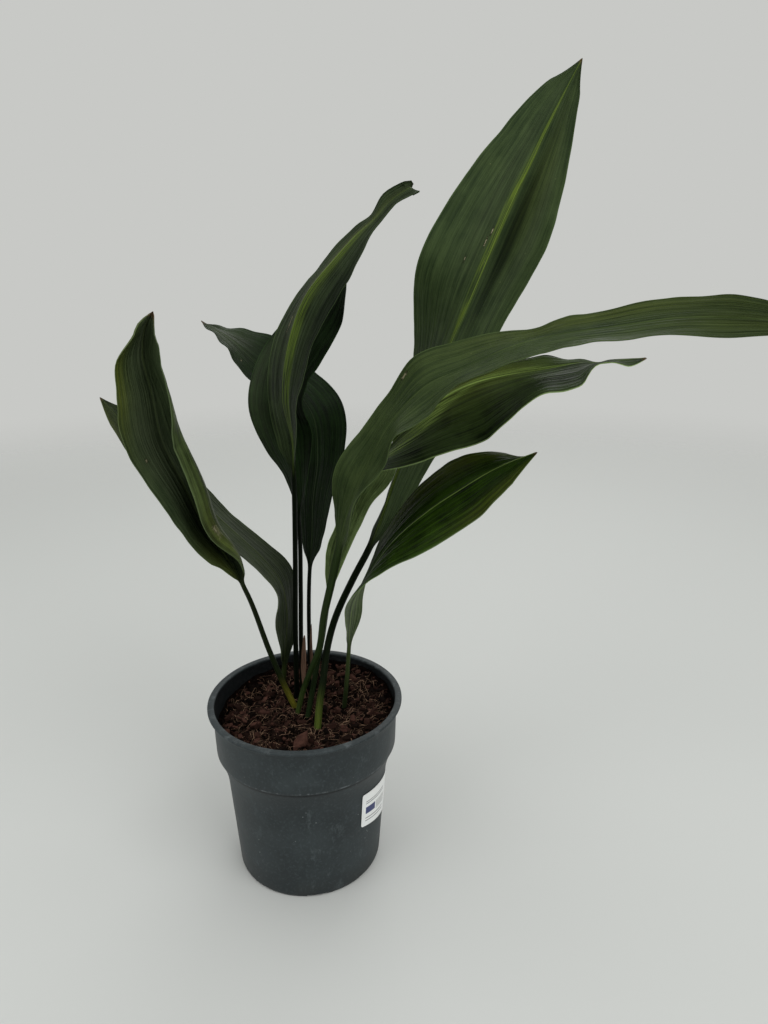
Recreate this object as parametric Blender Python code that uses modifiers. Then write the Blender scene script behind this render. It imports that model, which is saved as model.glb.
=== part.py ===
"""Potted cast iron plant: a turned plastic nursery pot, its soil, and nine broad leaves on stalks.

Metres, +Z up. The origin is the middle of the pot's base, on the surface it stands on. The front is -Y.
"""
import math
import random

import bmesh
import bpy
import numpy as np
from mathutils import Matrix, Vector, noise

MM = 0.001
GAP = 0.3 * MM                       # clearance between pieces that touch

# ---- pot ----
POT_STEPS = 48                       # facets round the pot
POT_HEIGHT = 155 * MM
RIM_RADIUS = 85 * MM
LIP_THICKNESS = 2.2 * MM
BAND_TOP_RADIUS = 80.6 * MM          # the wide band under the lip
BAND_FOOT_RADIUS = 79.2 * MM
BAND_FOOT_Z = 115 * MM
SHOULDER = [(77.0, 110), (73.6, 101), (71.3, 92), (70.4, 85)]   # radius, height in mm
FOOT_RADIUS = 64 * MM
FOOT_Z = 5 * MM
FOOT_EDGE = 2.2 * MM                 # how far the foot rounds in under the wall
FOOT_BEND = (0.6 * MM, 1.6 * MM)     # first step of that rounding: inwards, and its height
RIM_CORNER = 0.7 * MM
THROAT_STEP = 0.8 * MM               # the rim opens this much above the band
FLOOR_CORNER = 1.5 * MM
WALL = 1.5 * MM
FLOOR_Z = 4 * MM
BASE_DISC_RADIUS = 36 * MM           # flat middle of the base, which stands on the surface
BASE_GROOVE = (39 * MM, 54 * MM, 1.8 * MM)   # raised ring under the base: inner, outer radius, height
DRAIN_HOLES = 6
DRAIN_RADIUS = 4 * MM
NOTCHES = 8
NOTCH_WIDTH = 17 * MM
NOTCH_HEIGHT = 1.8 * MM
NOTCH_FIRST_ANGLE = -80.0            # degrees round from +X
CUTTER_MARGIN = 2 * MM               # how far a cutter reaches past what it cuts
MERGE_DISTANCE = 0.00001

# ---- label: a blank sticker on the right of the pot ----
LABEL_FROM_ANGLE = -44.5
LABEL_TO_ANGLE = -8.0
LABEL_LOW_Z = 57 * MM                 # at its left end
LABEL_HIGH_Z = 90 * MM
LABEL_LOW_FALL = 11 * MM              # its lower edge drops this much towards the right
LABEL_HIGH_FALL = 4 * MM
LABEL_THICKNESS = 0.6 * MM
LABEL_CORNER = 1.5 * MM
LABEL_COLUMNS = 10
LABEL_GAP = 0.4 * MM

# ---- soil ----
SOIL_Z = 131 * MM                 # in the middle, where the stalks come up
SOIL_EDGE_Z = 128 * MM            # the lowest that its edge may lie
SOIL_RISE = 9 * MM                # edge above the middle
SOIL_TILT = 10.5 * MM             # and heaped up towards the back right
SOIL_HIGH_ANGLE = 60
SOIL_RINGS = 7
SOIL_LUMP = 2.4 * MM
LUMP_SIZE = 16 * MM                  # how far apart the lumps are
CRUMB_SIZE = 6 * MM
CRUMB_SHARE = 0.4                    # height of the crumbs as a share of the lumps
CHIPS = 38
CHIP_SEED = 13
CHIP_LENGTH = (6, 15)                # mm, least and most
CHIP_WIDTH = (3.0, 6.5)
CHIP_HEIGHT = (1.6, 3.4)
CHIP_TILT = 0.5                      # radians, either way
CHIP_LIFT = 0.15                     # its middle above the soil, as a share of its height
CHIP_CLEARANCE = 4 * MM              # between a chip and the middle of a stalk
BIG_CHIP = dict(at=(-1, -36), size=(21, 13, 4.5), turn=12, tilt=7)   # mm, mm, degrees, degrees

# ---- leaves ----
HOLE_DEPTH = 15 * MM                 # how far a stalk stands in the soil
HOLE_PLAY = 0.5 * MM                 # room round a stalk in its hole
BLADE_EDGE = 0.7 * MM                # thickness of the blade at its edge
BLADE_MIDDLE = 1.0 * MM
RIB_HEIGHT = 1.2 * MM                # the midrib stands this much out of the back of the blade
RIB_TAPER = 60 * MM                  # over which the midrib thins towards the tip
RIB_LEAST = 0.35                     # share of its height left at the tip
PLEAT = 0.35 * MM                    # lengthwise pleats
WAVE_HEIGHT = 1.6 * MM               # waves of the edge
WAVE_LENGTH = 74 * MM
WAVE_SHIFT = 0.9                     # radians between the middle of the blade and each edge's wave
WAVE_WIDTH = 18 * MM                 # a half narrower than this waves less
RING_SPACING = 13 * MM
STALK_SPACING = 26 * MM
STALK_RINGS = 4                      # at least
TIP_LENGTH = 2.5 * MM                # the tip beyond the last ring
BLEND_LENGTH = 22 * MM               # over which the round stalk flattens into the blade
NUDGE = 0.5 * MM                     # step used to find which way the leaf runs
ACROSS = [-1, -0.74, -0.46, -0.2, 0, 0.2, 0.46, 0.74, 1]   # places across the blade, rib at 0

# Each leaf, in millimetres and degrees. stalk: from the soil to the foot of the blade. rib: on from
# there to the tip. left, right: greatest half widths. belly: where the blade is widest, as a share of
# its length. full: how full its outline is, lower is fuller. turn: how far each half turns at each
# point from the foot to the tip; 0 lies across the front view, 90 points to the front, -90 to the
# back, and past 90 it crosses over. curl: how far each half bends between the rib and its edge.
LEAVES = {
    "leaf_front_left": dict(
        stalk=[
            (-12, 20, 131), (-19, 19, 149), (-31, 12, 190), (-48, 2, 255)],
        rib=[
            (-57, -5, 280), (-75, -14, 317), (-87, -22, 355), (-100, -30, 396), (-102, -36, 431),
            (-105, -40, 461), (-100, -43, 481), (-93, -45, 491)],
        thick=(2.9, 2.0), left=41, right=48, belly=0.59, full=0.49,
        turn_left=[110, 100, 85, 80, 70, 70, 75, 95, 90],
        turn_right=[45, 50, 70, 65, 60, 60, 55, 50, 50],
        curl_left=20, curl_right=[40, 110, 140, 150, 130, 60, 20, 10, 10]),
    "leaf_far_left": dict(
        stalk=[
            (-27, 51, 137), (-25, 49, 153)],
        rib=[
            (-22, 45, 181), (-19, 43, 215), (-23, 41, 245), (-39, 39, 271), (-60, 37, 294),
            (-85, 35, 321), (-111, 32, 351), (-135, 28, 379), (-151, 25, 402), (-163, 22, 419)],
        thick=(2.6, 2.4), left=33, right=34, belly=0.53, full=0.57,
        turn_left=[80, 80, 70, 90, 90, 90, 80, 75, 80, 80, 75],
        turn_right=[-65, -70, -80, -75, -90, -95, -90, -75, -75, -85, -90],
        curl_left=20, curl_right=20),
    "leaf_centre": dict(
        stalk=[
            (-12, 35, 133), (-11, 34, 192), (-8, 30, 271), (-6, 26, 347)],
        rib=[
            (-6, 24, 378), (-12, 20, 416), (-6, 14, 457), (12, 7, 501), (32, 2, 524), (53, -3, 545),
            (64, -5, 554), (78, -7, 568), (91, -8, 576), (93, 6, 576)],
        thick=(2.4, 2.2), left=31, right=32, belly=0.45, full=0.59,
        turn_left=[-30, -40, -55, -60, -75, -75, -75, -75, -60, -55, -45],
        turn_right=[85, 75, 60, 50, 40, 50, 65, 75, 70, 55, 50],
        curl_left=25, curl_right=25),
    "leaf_centre_back": dict(
        stalk=[
            (-7, 39, 133), (-7, 41, 188), (-6, 45, 236), (-6, 50, 302)],
        rib=[
            (-10, 53, 340), (-19, 56, 374), (-23, 58, 405), (-18, 60, 435), (0, 60, 465),
            (20, 58, 490), (34, 56, 507), (41, 54, 520)],
        thick=(2.2, 2.0), left=28, right=33, belly=0.51, full=0.57,
        turn_left=[-75, -60, -35, -20, -30, -40, -40, -40, -40],
        turn_right=[60, 45, 20, 40, 40, 25, 15, 50, 70],
        curl_left=20, curl_right=20),
    "leaf_back_left": dict(
        stalk=[
            (0, 47, 135), (-1, 56, 180), (0, 70, 242)],
        rib=[
            (2, 77, 268), (4, 86, 310), (9, 93, 351), (5, 99, 388), (-16, 104, 416), (-47, 107, 437),
            (-74, 109, 461), (-96, 110, 475)],
        thick=(2.0, 1.9), left=28, right=36, belly=0.62, full=0.55,
        turn_left=[45, 50, 55, 50, 55, 60, 65, 85, 90],
        turn_right=[-70, -60, -50, -45, -40, -55, -35, -75, -105],
        curl_left=20, curl_right=20),
    "leaf_tall_right": dict(
        stalk=[
            (11, -13, 131), (13, -6, 152), (16, 2, 170), (19, 9, 193), (24, 19, 212), (43, 35, 252),
            (56, 42, 275)],
        rib=[
            (83, 58, 345), (112, 66, 415), (132, 68, 461), (151, 70, 505), (172, 71, 556),
            (198, 71, 612), (222, 75, 661), (233, 76, 682)],
        thick=(3.1, 3.1), left=59, right=52, belly=0.53, full=0.64,
        turn_left=[-85, -95, -75, -55, -25, -30, -40, -50, -60],
        turn_right=[-40, -40, -40, -40, -35, -20, -30, -45, -55],
        curl_left=15, curl_right=15),
    "leaf_long_right": dict(
        stalk=[
            (-9, 11, 131), (-2, 8, 158), (5, 5, 177), (13, 1, 199), (19, -5, 235), (26, -10, 265),
            (31, -14, 288)],
        rib=[
            (39, -19, 324), (50, -25, 355), (64, -31, 385), (82, -38, 415), (103, -47, 437),
            (129, -56, 450), (161, -77, 468), (187, -94, 476), (219, -116, 483), (248, -137, 489),
            (271, -155, 490), (288, -170, 489), (300, -180, 487)],
        thick=(2.2, 3.5), left=30, right=33, belly=0.44, full=0.40,
        turn_left=[-80, -55, -35, -60, -65, -50, -50, -90, -75, -65, -60, -40, -35, -40],
        turn_right=[75, 80, 85, 75, 85, 65, 85, 80, 85, 80, 70, 50, 40, 30],
        curl_left=20, curl_right=20),
    "leaf_mid_right": dict(
        stalk=[
            (1, 4, 131), (4, 9, 148), (7, 13, 163), (10, 17, 179), (14, 21, 198), (20, 25, 235)],
        rib=[
            (28, 32, 270), (39, 37, 306), (52, 39, 334), (66, 36, 357), (89, 29, 386), (117, 20, 413),
            (144, 9, 429), (171, 3, 436), (198, -2, 440), (224, -7, 446), (241, -10, 447),
            (257, -11, 449), (274, -12, 451)],
        thick=(2.4, 2.5), left=49, right=23, belly=0.63, full=0.77,
        turn_left=[60, 55, 70, 60, 80, 110, 135, 145, 120, 100, 105, 80, 95, 100],
        turn_right=[45, 40, 35, 35, -20, -80, -85, -95, -110, -120, -95, -90, -90, -95],
        curl_left=20, curl_right=20),
    "leaf_low_right": dict(
        stalk=[
            (33, 17, 133), (36, 16, 161), (38, 15, 186)],
        rib=[
            (40, 13, 216), (44, 10, 239), (57, 5, 264), (77, -2, 296), (106, -9, 326), (135, -16, 349),
            (163, -22, 368), (190, -27, 381)],
        thick=(2.2, 1.9), left=35, right=38, belly=0.59, full=0.73,
        turn_left=[85, 80, 70, 75, 95, 115, 125, 115, 105],
        turn_right=[-70, -65, -75, -90, -95, -110, -115, -100, -60],
        curl_left=20, curl_right=20),
}

# Dry brown sheaths that stand at the foot of the middle stalks.
SHEATHS = {
    "sheath_centre": dict(
        stalk=[(-5, 33, 131), (-5, 33, 138)],
        rib=[(-5, 34, 160), (-4, 35, 182), (-3, 36, 196)],
        thick=(1.3, 1.3), left=4, right=4, belly=0.45, full=0.45,
        turn_left=[-25, -25, -25, -25], turn_right=[-25, -25, -25, -25],
        curl_left=40, curl_right=40),
    "sheath_back": dict(
        stalk=[(3, 40, 133), (3, 40, 141)],
        rib=[(2, 41, 160), (2, 42, 185), (3, 43, 204)],
        thick=(1.3, 1.3), left=3, right=3, belly=0.4, full=0.5,
        turn_left=[-35, -35, -35, -35], turn_right=[-35, -35, -35, -35],
        curl_left=30, curl_right=30),
}

COLOURS = {
    "pot": (0.045, 0.055, 0.062),
    "label": (0.85, 0.86, 0.86),
    "soil": (0.055, 0.028, 0.02),
    "leaf": (0.035, 0.085, 0.028),
    "sheath": (0.30, 0.17, 0.10),
}
ROUGHNESS = {"pot": 0.5, "label": 0.45, "soil": 0.95, "leaf": 0.38, "sheath": 0.8}


def clear_scene():
    for item in list(bpy.data.objects):
        bpy.data.objects.remove(item, do_unlink=True)


def new_collection(name):
    group = bpy.data.collections.new(name)
    bpy.context.scene.collection.children.link(group)
    return group


def new_material(name):
    material = bpy.data.materials.new(name)
    material.use_nodes = True
    shader = material.node_tree.nodes["Principled BSDF"]
    shader.inputs["Base Color"].default_value = (*COLOURS[name], 1)
    shader.inputs["Roughness"].default_value = ROUGHNESS[name]
    shader.inputs["Metallic"].default_value = 0.0
    return material


def add_object(name, shape, group, material=None, smooth_angle=40):
    """Turn a bmesh into an object of the group and free the bmesh."""
    mesh = bpy.data.meshes.new(name)
    shape.to_mesh(mesh)
    shape.free()
    mesh.shade_smooth()
    mesh.set_sharp_from_angle(angle=math.radians(smooth_angle))
    item = bpy.data.objects.new(name, mesh)
    if material:
        mesh.materials.append(material)
    group.objects.link(item)
    return item


def fuse(item, collection):
    """Join every object of a collection into one solid with the item."""
    union = item.modifiers.new("union", "BOOLEAN")
    union.operation = "UNION"
    union.solver = "EXACT"
    union.operand_type = "COLLECTION"
    union.collection = collection
    graph = bpy.context.evaluated_depsgraph_get()
    mesh = bpy.data.meshes.new_from_object(item.evaluated_get(graph))
    item.modifiers.remove(union)
    old = item.data
    item.data = mesh
    bpy.data.meshes.remove(old)


def cut(item, name, cutter):
    """Cut a shape out of the item."""
    change = item.modifiers.new(name, "BOOLEAN")
    change.operation = "DIFFERENCE"
    change.object = cutter


def merge_cutters(cutters, name):
    """Several closed shapes that do not touch, kept as one cutter mesh."""
    joined = bmesh.new()
    for shape in cutters:
        mesh = bpy.data.meshes.new("piece")
        shape.to_mesh(mesh)
        shape.free()
        joined.from_mesh(mesh)
        bpy.data.meshes.remove(mesh)
    item = add_object(name, joined, CUTTERS)
    item.hide_render = True
    item.display_type = "WIRE"
    return item


def bridge(shape, first, second):
    """Quads between two closed loops of the same length."""
    count = len(first)
    for here in range(count):
        after = (here + 1) % count
        shape.faces.new((first[here], first[after], second[after], second[here]))


# ---- pot ----

def wall_radius(z):
    """Outer radius of the pot's wall at a height, between the foot and the lip."""
    heights = [FOOT_Z] + [h * MM for _, h in reversed(SHOULDER)] + [BAND_FOOT_Z, POT_HEIGHT]
    radii = [FOOT_RADIUS] + [r * MM for r, _ in reversed(SHOULDER)] + [BAND_FOOT_RADIUS, BAND_TOP_RADIUS]
    return float(np.interp(z, heights, radii))


def pot_profile():
    """Half section of the pot, from the middle of its floor, over the rim, to the middle of its base."""
    corner = FOOT_RADIUS - WALL
    inside = [(0, FLOOR_Z), (corner - FLOOR_CORNER, FLOOR_Z), (corner, FLOOR_Z + FLOOR_CORNER)]
    inside += [(r * MM - WALL, h * MM) for r, h in reversed(SHOULDER)]
    inside += [(BAND_FOOT_RADIUS - WALL, BAND_FOOT_Z)]
    inside += [(BAND_TOP_RADIUS - WALL, POT_HEIGHT - THROAT_STEP)]
    rim = [
        (BAND_TOP_RADIUS - WALL + THROAT_STEP, POT_HEIGHT),
        (RIM_RADIUS - RIM_CORNER, POT_HEIGHT),
        (RIM_RADIUS, POT_HEIGHT - RIM_CORNER),
        (RIM_RADIUS, POT_HEIGHT - LIP_THICKNESS),
        (BAND_TOP_RADIUS, POT_HEIGHT - LIP_THICKNESS - RIM_CORNER),
    ]
    bend_in, bend_z = FOOT_BEND
    outside = [(BAND_FOOT_RADIUS, BAND_FOOT_Z)] + [(r * MM, h * MM) for r, h in SHOULDER]
    outside += [(FOOT_RADIUS, FOOT_Z), (FOOT_RADIUS - bend_in, bend_z), (FOOT_RADIUS - FOOT_EDGE, 0)]
    inner, outer, height = BASE_GROOVE
    base = [(outer + RIM_CORNER, 0), (outer, height), (inner, height), (BASE_DISC_RADIUS, 0), (0, 0)]
    return inside + rim + outside + base


def drain_cutters():
    """Round holes through the floor, in the raised ring of the base."""
    inner, outer, _ = BASE_GROOVE
    middle = (inner + outer) / 2
    shapes = []
    for number in range(DRAIN_HOLES):
        angle = math.tau * number / DRAIN_HOLES
        place = Matrix.Translation((middle * math.cos(angle), middle * math.sin(angle), FLOOR_Z / 2))
        shape = bmesh.new()
        bmesh.ops.create_cone(shape, cap_ends=True, segments=16, radius1=DRAIN_RADIUS,
                              radius2=DRAIN_RADIUS, depth=4 * FLOOR_Z, matrix=place)
        shapes.append(shape)
    return shapes


def notch_cutters():
    """Shallow arches through the foot ring, which let water out sideways."""
    _, outer, _ = BASE_GROOVE
    from_radius = outer - CUTTER_MARGIN
    to_radius = FOOT_RADIUS + CUTTER_MARGIN
    size = Matrix.Diagonal((to_radius - from_radius, NOTCH_WIDTH, 2 * NOTCH_HEIGHT, 1))
    shapes = []
    for number in range(NOTCHES):
        angle = math.radians(NOTCH_FIRST_ANGLE) + math.tau * number / NOTCHES
        turn = Matrix.Rotation(angle, 4, "Z")
        place = turn @ Matrix.Translation(((from_radius + to_radius) / 2, 0, 0))
        shape = bmesh.new()
        bmesh.ops.create_cube(shape, size=1, matrix=place @ size)
        shapes.append(shape)
    return shapes


def make_pot():
    shape = bmesh.new()
    points = [shape.verts.new((radius, 0, z)) for radius, z in pot_profile()]
    for first, second in zip(points, points[1:]):
        shape.edges.new((first, second))
    mesh = bpy.data.meshes.new("pot")
    shape.to_mesh(mesh)
    shape.free()
    pot = bpy.data.objects.new("pot", mesh)
    PARTS.objects.link(pot)
    turned = pot.modifiers.new("turned", "SCREW")
    turned.steps = POT_STEPS
    turned.render_steps = POT_STEPS
    turned.use_merge_vertices = True
    turned.merge_threshold = MERGE_DISTANCE
    turned.use_smooth_shade = True
    cut(pot, "drains", merge_cutters(drain_cutters(), "cut_drains"))
    cut(pot, "notches", merge_cutters(notch_cutters(), "cut_notches"))
    mesh.materials.append(new_material("pot"))


def make_label():
    """A thin curved plate a gap away from the wall, with its corners cut."""
    width = math.radians(LABEL_TO_ANGLE - LABEL_FROM_ANGLE)
    shape = bmesh.new()
    columns = []
    for number in range(LABEL_COLUMNS + 1):
        share = number / LABEL_COLUMNS
        angle = math.radians(LABEL_FROM_ANGLE) + share * width
        inset = LABEL_CORNER if number in (0, LABEL_COLUMNS) else 0
        low = LABEL_LOW_Z - LABEL_LOW_FALL * share + inset
        high = LABEL_HIGH_Z - LABEL_HIGH_FALL * share - inset
        column = []
        for z, out in ((low, 0), (high, 0), (high, LABEL_THICKNESS), (low, LABEL_THICKNESS)):
            radius = wall_radius(z) + LABEL_GAP + out
            column.append(shape.verts.new((radius * math.cos(angle), radius * math.sin(angle), z)))
        columns.append(column)
    for first, second in zip(columns, columns[1:]):
        bridge(shape, first, second)
    shape.faces.new(reversed(columns[0]))
    shape.faces.new(columns[-1])
    add_object("pot_label", shape, PARTS, new_material("label"))


# ---- soil ----

def soil_height(x, y):
    """Lumpy top of the soil: a hollow round the stalks, heaped up against the wall at the back right."""
    share = math.hypot(x, y) / wall_radius(SOIL_EDGE_Z)
    heap = math.cos(math.atan2(y, x) - math.radians(SOIL_HIGH_ANGLE))
    crown = SOIL_Z + (SOIL_RISE + SOIL_TILT * heap) * share ** 3
    lump = noise.noise(Vector((x / LUMP_SIZE, y / LUMP_SIZE, 0)))
    crumb = noise.noise(Vector((x / CRUMB_SIZE, y / CRUMB_SIZE, 5)))
    return crown + SOIL_LUMP * (lump + CRUMB_SHARE * crumb)


def soil_ring(shape, radius, z=None):
    """A ring of points round the soil, at one height or on its lumpy top."""
    ring = []
    for number in range(POT_STEPS):
        angle = math.tau * number / POT_STEPS
        x = radius * math.cos(angle)
        y = radius * math.sin(angle)
        ring.append(shape.verts.new((x, y, soil_height(x, y) if z is None else z)))
    return ring


def soil_body():
    """Everything inside the pot up to the lumpy top, one gap clear of the wall and floor."""
    inset = WALL + GAP / math.cos(math.pi / POT_STEPS)
    corner = FOOT_RADIUS - inset
    shape = bmesh.new()
    rings = [
        soil_ring(shape, corner - FLOOR_CORNER, FLOOR_Z + GAP),
        soil_ring(shape, corner, FLOOR_Z + GAP + FLOOR_CORNER),
    ]
    for height in [h * MM for _, h in reversed(SHOULDER)] + [BAND_FOOT_Z]:
        rings.append(soil_ring(shape, wall_radius(height) - inset, height))
    edge = wall_radius(SOIL_EDGE_Z) - inset
    for number in range(SOIL_RINGS):
        rings.append(soil_ring(shape, edge * (1 - number / SOIL_RINGS)))
    for first, second in zip(rings, rings[1:]):
        bridge(shape, first, second)
    shape.faces.new(reversed(rings[0]))
    top = shape.verts.new((0, 0, soil_height(0, 0)))
    for number, point in enumerate(rings[-1]):
        shape.faces.new((point, rings[-1][(number + 1) % POT_STEPS], top))
    return shape


def chip_shape(at, size, turn, tilt, rng):
    """A flake of bark: a thin box with uneven corners, half sunk in the soil."""
    x, y = at
    place = Matrix.Translation((x, y, soil_height(x, y) + CHIP_LIFT * size[2]))
    place = place @ Matrix.Rotation(turn, 4, "Z") @ Matrix.Rotation(tilt, 4, "X")
    shape = bmesh.new()
    bmesh.ops.create_cube(shape, size=1, matrix=Matrix.Diagonal((*size, 1)))
    for corner in shape.verts:
        corner.co.x *= rng.uniform(0.7, 1.1)
        corner.co.y *= rng.uniform(0.6, 1.1)
    bmesh.ops.transform(shape, matrix=place, verts=shape.verts)
    return shape


def chip_shapes():
    """Bark chips strewn over the soil by a seeded rule, clear of the stalks and of the wall."""
    rng = random.Random(CHIP_SEED)
    stalks = [plant["stalk"][0] for plant in [*LEAVES.values(), *SHEATHS.values()]]
    edge = wall_radius(SOIL_EDGE_Z) - WALL
    x, y = BIG_CHIP["at"]
    big = tuple(side * MM for side in BIG_CHIP["size"])
    turn, tilt = math.radians(BIG_CHIP["turn"]), math.radians(BIG_CHIP["tilt"])
    shapes = [chip_shape((x * MM, y * MM), big, turn, tilt, rng)]
    while len(shapes) < CHIPS:
        length = rng.uniform(*CHIP_LENGTH) * MM
        size = (length, rng.uniform(*CHIP_WIDTH) * MM, rng.uniform(*CHIP_HEIGHT) * MM)
        reach = math.sqrt(rng.random()) * (edge - length)
        angle = rng.uniform(0, math.tau)
        x = reach * math.cos(angle)
        y = reach * math.sin(angle)
        turn = rng.uniform(0, math.tau)
        tilt = rng.uniform(-CHIP_TILT, CHIP_TILT)
        nearest = min(math.hypot(x - a * MM, y - b * MM) for a, b, _ in stalks)
        if nearest > length / 2 + CHIP_CLEARANCE:
            shapes.append(chip_shape((x, y), size, turn, tilt, rng))
    return shapes


def hole_cutters():
    """A plain round hole for each stalk and sheath, along the way it enters the soil."""
    shapes = []
    for plant in [*LEAVES.values(), *SHEATHS.values()]:
        start, along = stalk_entry(plant)
        low = start - along * (HOLE_DEPTH + GAP)
        high = start + along * HOLE_DEPTH
        place = Matrix.Translation((low + high) / 2) @ along.to_track_quat("Z", "Y").to_matrix().to_4x4()
        radius = plant["thick"][0] * MM + HOLE_PLAY
        shape = bmesh.new()
        bmesh.ops.create_cone(shape, cap_ends=True, segments=16, radius1=radius,
                              radius2=radius, depth=(high - low).length, matrix=place)
        shapes.append(shape)
    return shapes


def make_soil():
    """The soil with its chips fused in by one union, then the holes for the stalks."""
    soil = add_object("soil", soil_body(), PARTS, new_material("soil"))
    chips = bpy.data.collections.new("chips")
    bpy.context.scene.collection.children.link(chips)
    for number, shape in enumerate(chip_shapes()):
        add_object(f"chip_{number}", shape, chips)
    fuse(soil, chips)
    for item in list(chips.objects):
        bpy.data.objects.remove(item, do_unlink=True)
    bpy.data.collections.remove(chips)
    cut(soil, "stalk_holes", merge_cutters(hole_cutters(), "cut_stalk_holes"))


# ---- leaves ----

def smooth(knots, values, places):
    """Read a smooth curve through the values at the knots; it has no corners."""
    values = np.asarray(values, float)
    steps = np.diff(knots)
    slopes = (np.diff(values, axis=0).T / steps).T
    tangents = np.empty_like(values)
    tangents[0] = slopes[0]
    tangents[-1] = slopes[-1]
    for number in range(1, len(knots) - 1):
        before, after = steps[number - 1], steps[number]
        tangents[number] = (after * slopes[number - 1] + before * slopes[number]) / (before + after)
    span = np.clip(np.searchsorted(knots, places, side="right") - 1, 0, len(steps) - 1)
    share = (places - knots[span]) / steps[span]
    length = steps[span]
    if values.ndim > 1:
        share = share[:, None]
        length = length[:, None]
    start = (2 * share ** 3 - 3 * share ** 2 + 1) * values[span]
    start += (share ** 3 - 2 * share ** 2 + share) * length * tangents[span]
    end = (3 * share ** 2 - 2 * share ** 3) * values[span + 1]
    end += (share ** 3 - share ** 2) * length * tangents[span + 1]
    return start + end


def stalk_entry(plant):
    """Where a stalk meets the soil, and its direction there."""
    first, second = (Vector(point) * MM for point in plant["stalk"][:2])
    return first, (second - first).normalized()


def outline(share, belly, full):
    """Half width along the blade, 1 at the belly and 0 at its foot and tip."""
    share = np.clip(share, 0, 1)
    return (share / belly) ** full * ((1 - share) / (1 - belly)) ** (full * (1 - belly) / belly)


def leaf_path(plant):
    """Knots along the leaf, its points, and where along it the blade begins."""
    start, along = stalk_entry(plant)
    points = [start - along * HOLE_DEPTH] + [Vector(p) * MM for p in plant["stalk"] + plant["rib"]]
    points = np.array([tuple(point) for point in points])
    knots = np.concatenate([[0], np.cumsum(np.linalg.norm(np.diff(points, axis=0), axis=1))])
    return knots, points, knots[len(plant["stalk"])]


def leaf_frames(knots, points, places):
    """At each place: the point, the direction across to the left, and the direction to the front."""
    ahead = smooth(knots, points, np.minimum(places + NUDGE, knots[-1]))
    behind = smooth(knots, points, np.maximum(places - NUDGE, 0))
    along = ahead - behind
    along /= np.linalg.norm(along, axis=1)[:, None]
    left = np.cross(along, (0, 1, 0))
    left /= np.linalg.norm(left, axis=1)[:, None]
    return smooth(knots, points, places), left, np.cross(along, left)


def leaf_places(knots, foot):
    """Where the rings go: wide apart up the stalk, closer along the blade."""
    stalk_rings = max(STALK_RINGS, round(foot / STALK_SPACING))
    stalk = np.linspace(0, foot, stalk_rings, endpoint=False)
    blade = np.linspace(foot, knots[-1] - TIP_LENGTH, round((knots[-1] - foot) / RING_SPACING))
    return np.concatenate([stalk, blade])


def bend(plant, knots, places, side):
    """Angle at the rib and the curl of one half of the blade at each place, in radians."""
    blade_knots = knots[len(plant["stalk"]):]
    here = np.maximum(places, blade_knots[0])
    turn = np.radians(smooth(blade_knots, plant["turn_" + side], here))
    curls = plant["curl_" + side]
    if not isinstance(curls, list):
        curls = [curls] * len(blade_knots)
    curl = np.radians(smooth(blade_knots, curls, here))
    return turn - curl / 2, curl


def blade_line(plant, knots, places, across):
    """One line along the blade: its offsets from the rib, left and front, and its front normal."""
    side, sign = ("left", 1) if across < 0 else ("right", -1)
    foot = knots[len(plant["stalk"])]
    reach = outline((places - foot) / (knots[-1] - foot), plant["belly"], plant["full"]) * plant[side] * MM
    begin, curl = bend(plant, knots, places, side)
    here = begin + curl * abs(across)
    normal = np.stack([-sign * np.sin(here), np.cos(here)])
    if across == 0:
        other, _ = bend(plant, knots, places, "left")
        normal = np.stack([np.sin((here - other) / 2), np.cos((here - other) / 2)])
    offset = reach / curl * np.stack([sign * (np.sin(here) - np.sin(begin)), np.cos(begin) - np.cos(here)])
    wave = WAVE_HEIGHT * across ** 2 * np.clip(reach / WAVE_WIDTH, 0, 1)
    wave *= np.sin(math.tau * (places - foot) / WAVE_LENGTH + sign * WAVE_SHIFT)
    pleat = 0 if abs(across) == 1 else PLEAT * (1 if ACROSS.index(across) % 2 else -1)
    return offset + (wave + pleat) * normal, normal


def leaf_rings(plant):
    """Closed rings of points up the stalk and along the blade, and the point of the tip."""
    knots, points, foot = leaf_path(plant)
    places = leaf_places(knots, foot)
    centre, left, front = leaf_frames(knots, points, places)
    flat = np.clip((places - foot) / BLEND_LENGTH, 0, 1)
    flat = (flat * flat * (3 - 2 * flat))[:, None]
    radius = np.interp(places, [0, foot], plant["thick"])[:, None] * MM
    rib = RIB_HEIGHT * np.clip((knots[-1] - places) / RIB_TAPER, RIB_LEAST, 1)[:, None]
    front_row = []
    back_row = []
    for number, across in enumerate(ACROSS):
        (to_left, to_front), (normal_left, normal_front) = blade_line(plant, knots, places, across)
        skin = centre + to_left[:, None] * left + to_front[:, None] * front
        normal = normal_left[:, None] * left + normal_front[:, None] * front
        half = (BLADE_EDGE + (BLADE_MIDDLE - BLADE_EDGE) * (1 - abs(across))) / 2
        angle = math.pi * (number + 0.5) / len(ACROSS)
        sideways = centre + radius * math.cos(angle) * left
        forward = radius * math.sin(angle) * front
        front_row.append((1 - flat) * (sideways + forward) + flat * (skin + half * normal))
        depth = half + rib * (across == 0)
        back_row.append((1 - flat) * (sideways - forward) + flat * (skin - depth * normal))
    tip = smooth(knots, points, knots[-1:] - NUDGE)[0]
    return np.stack(front_row + back_row[::-1], axis=1), tip


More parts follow.
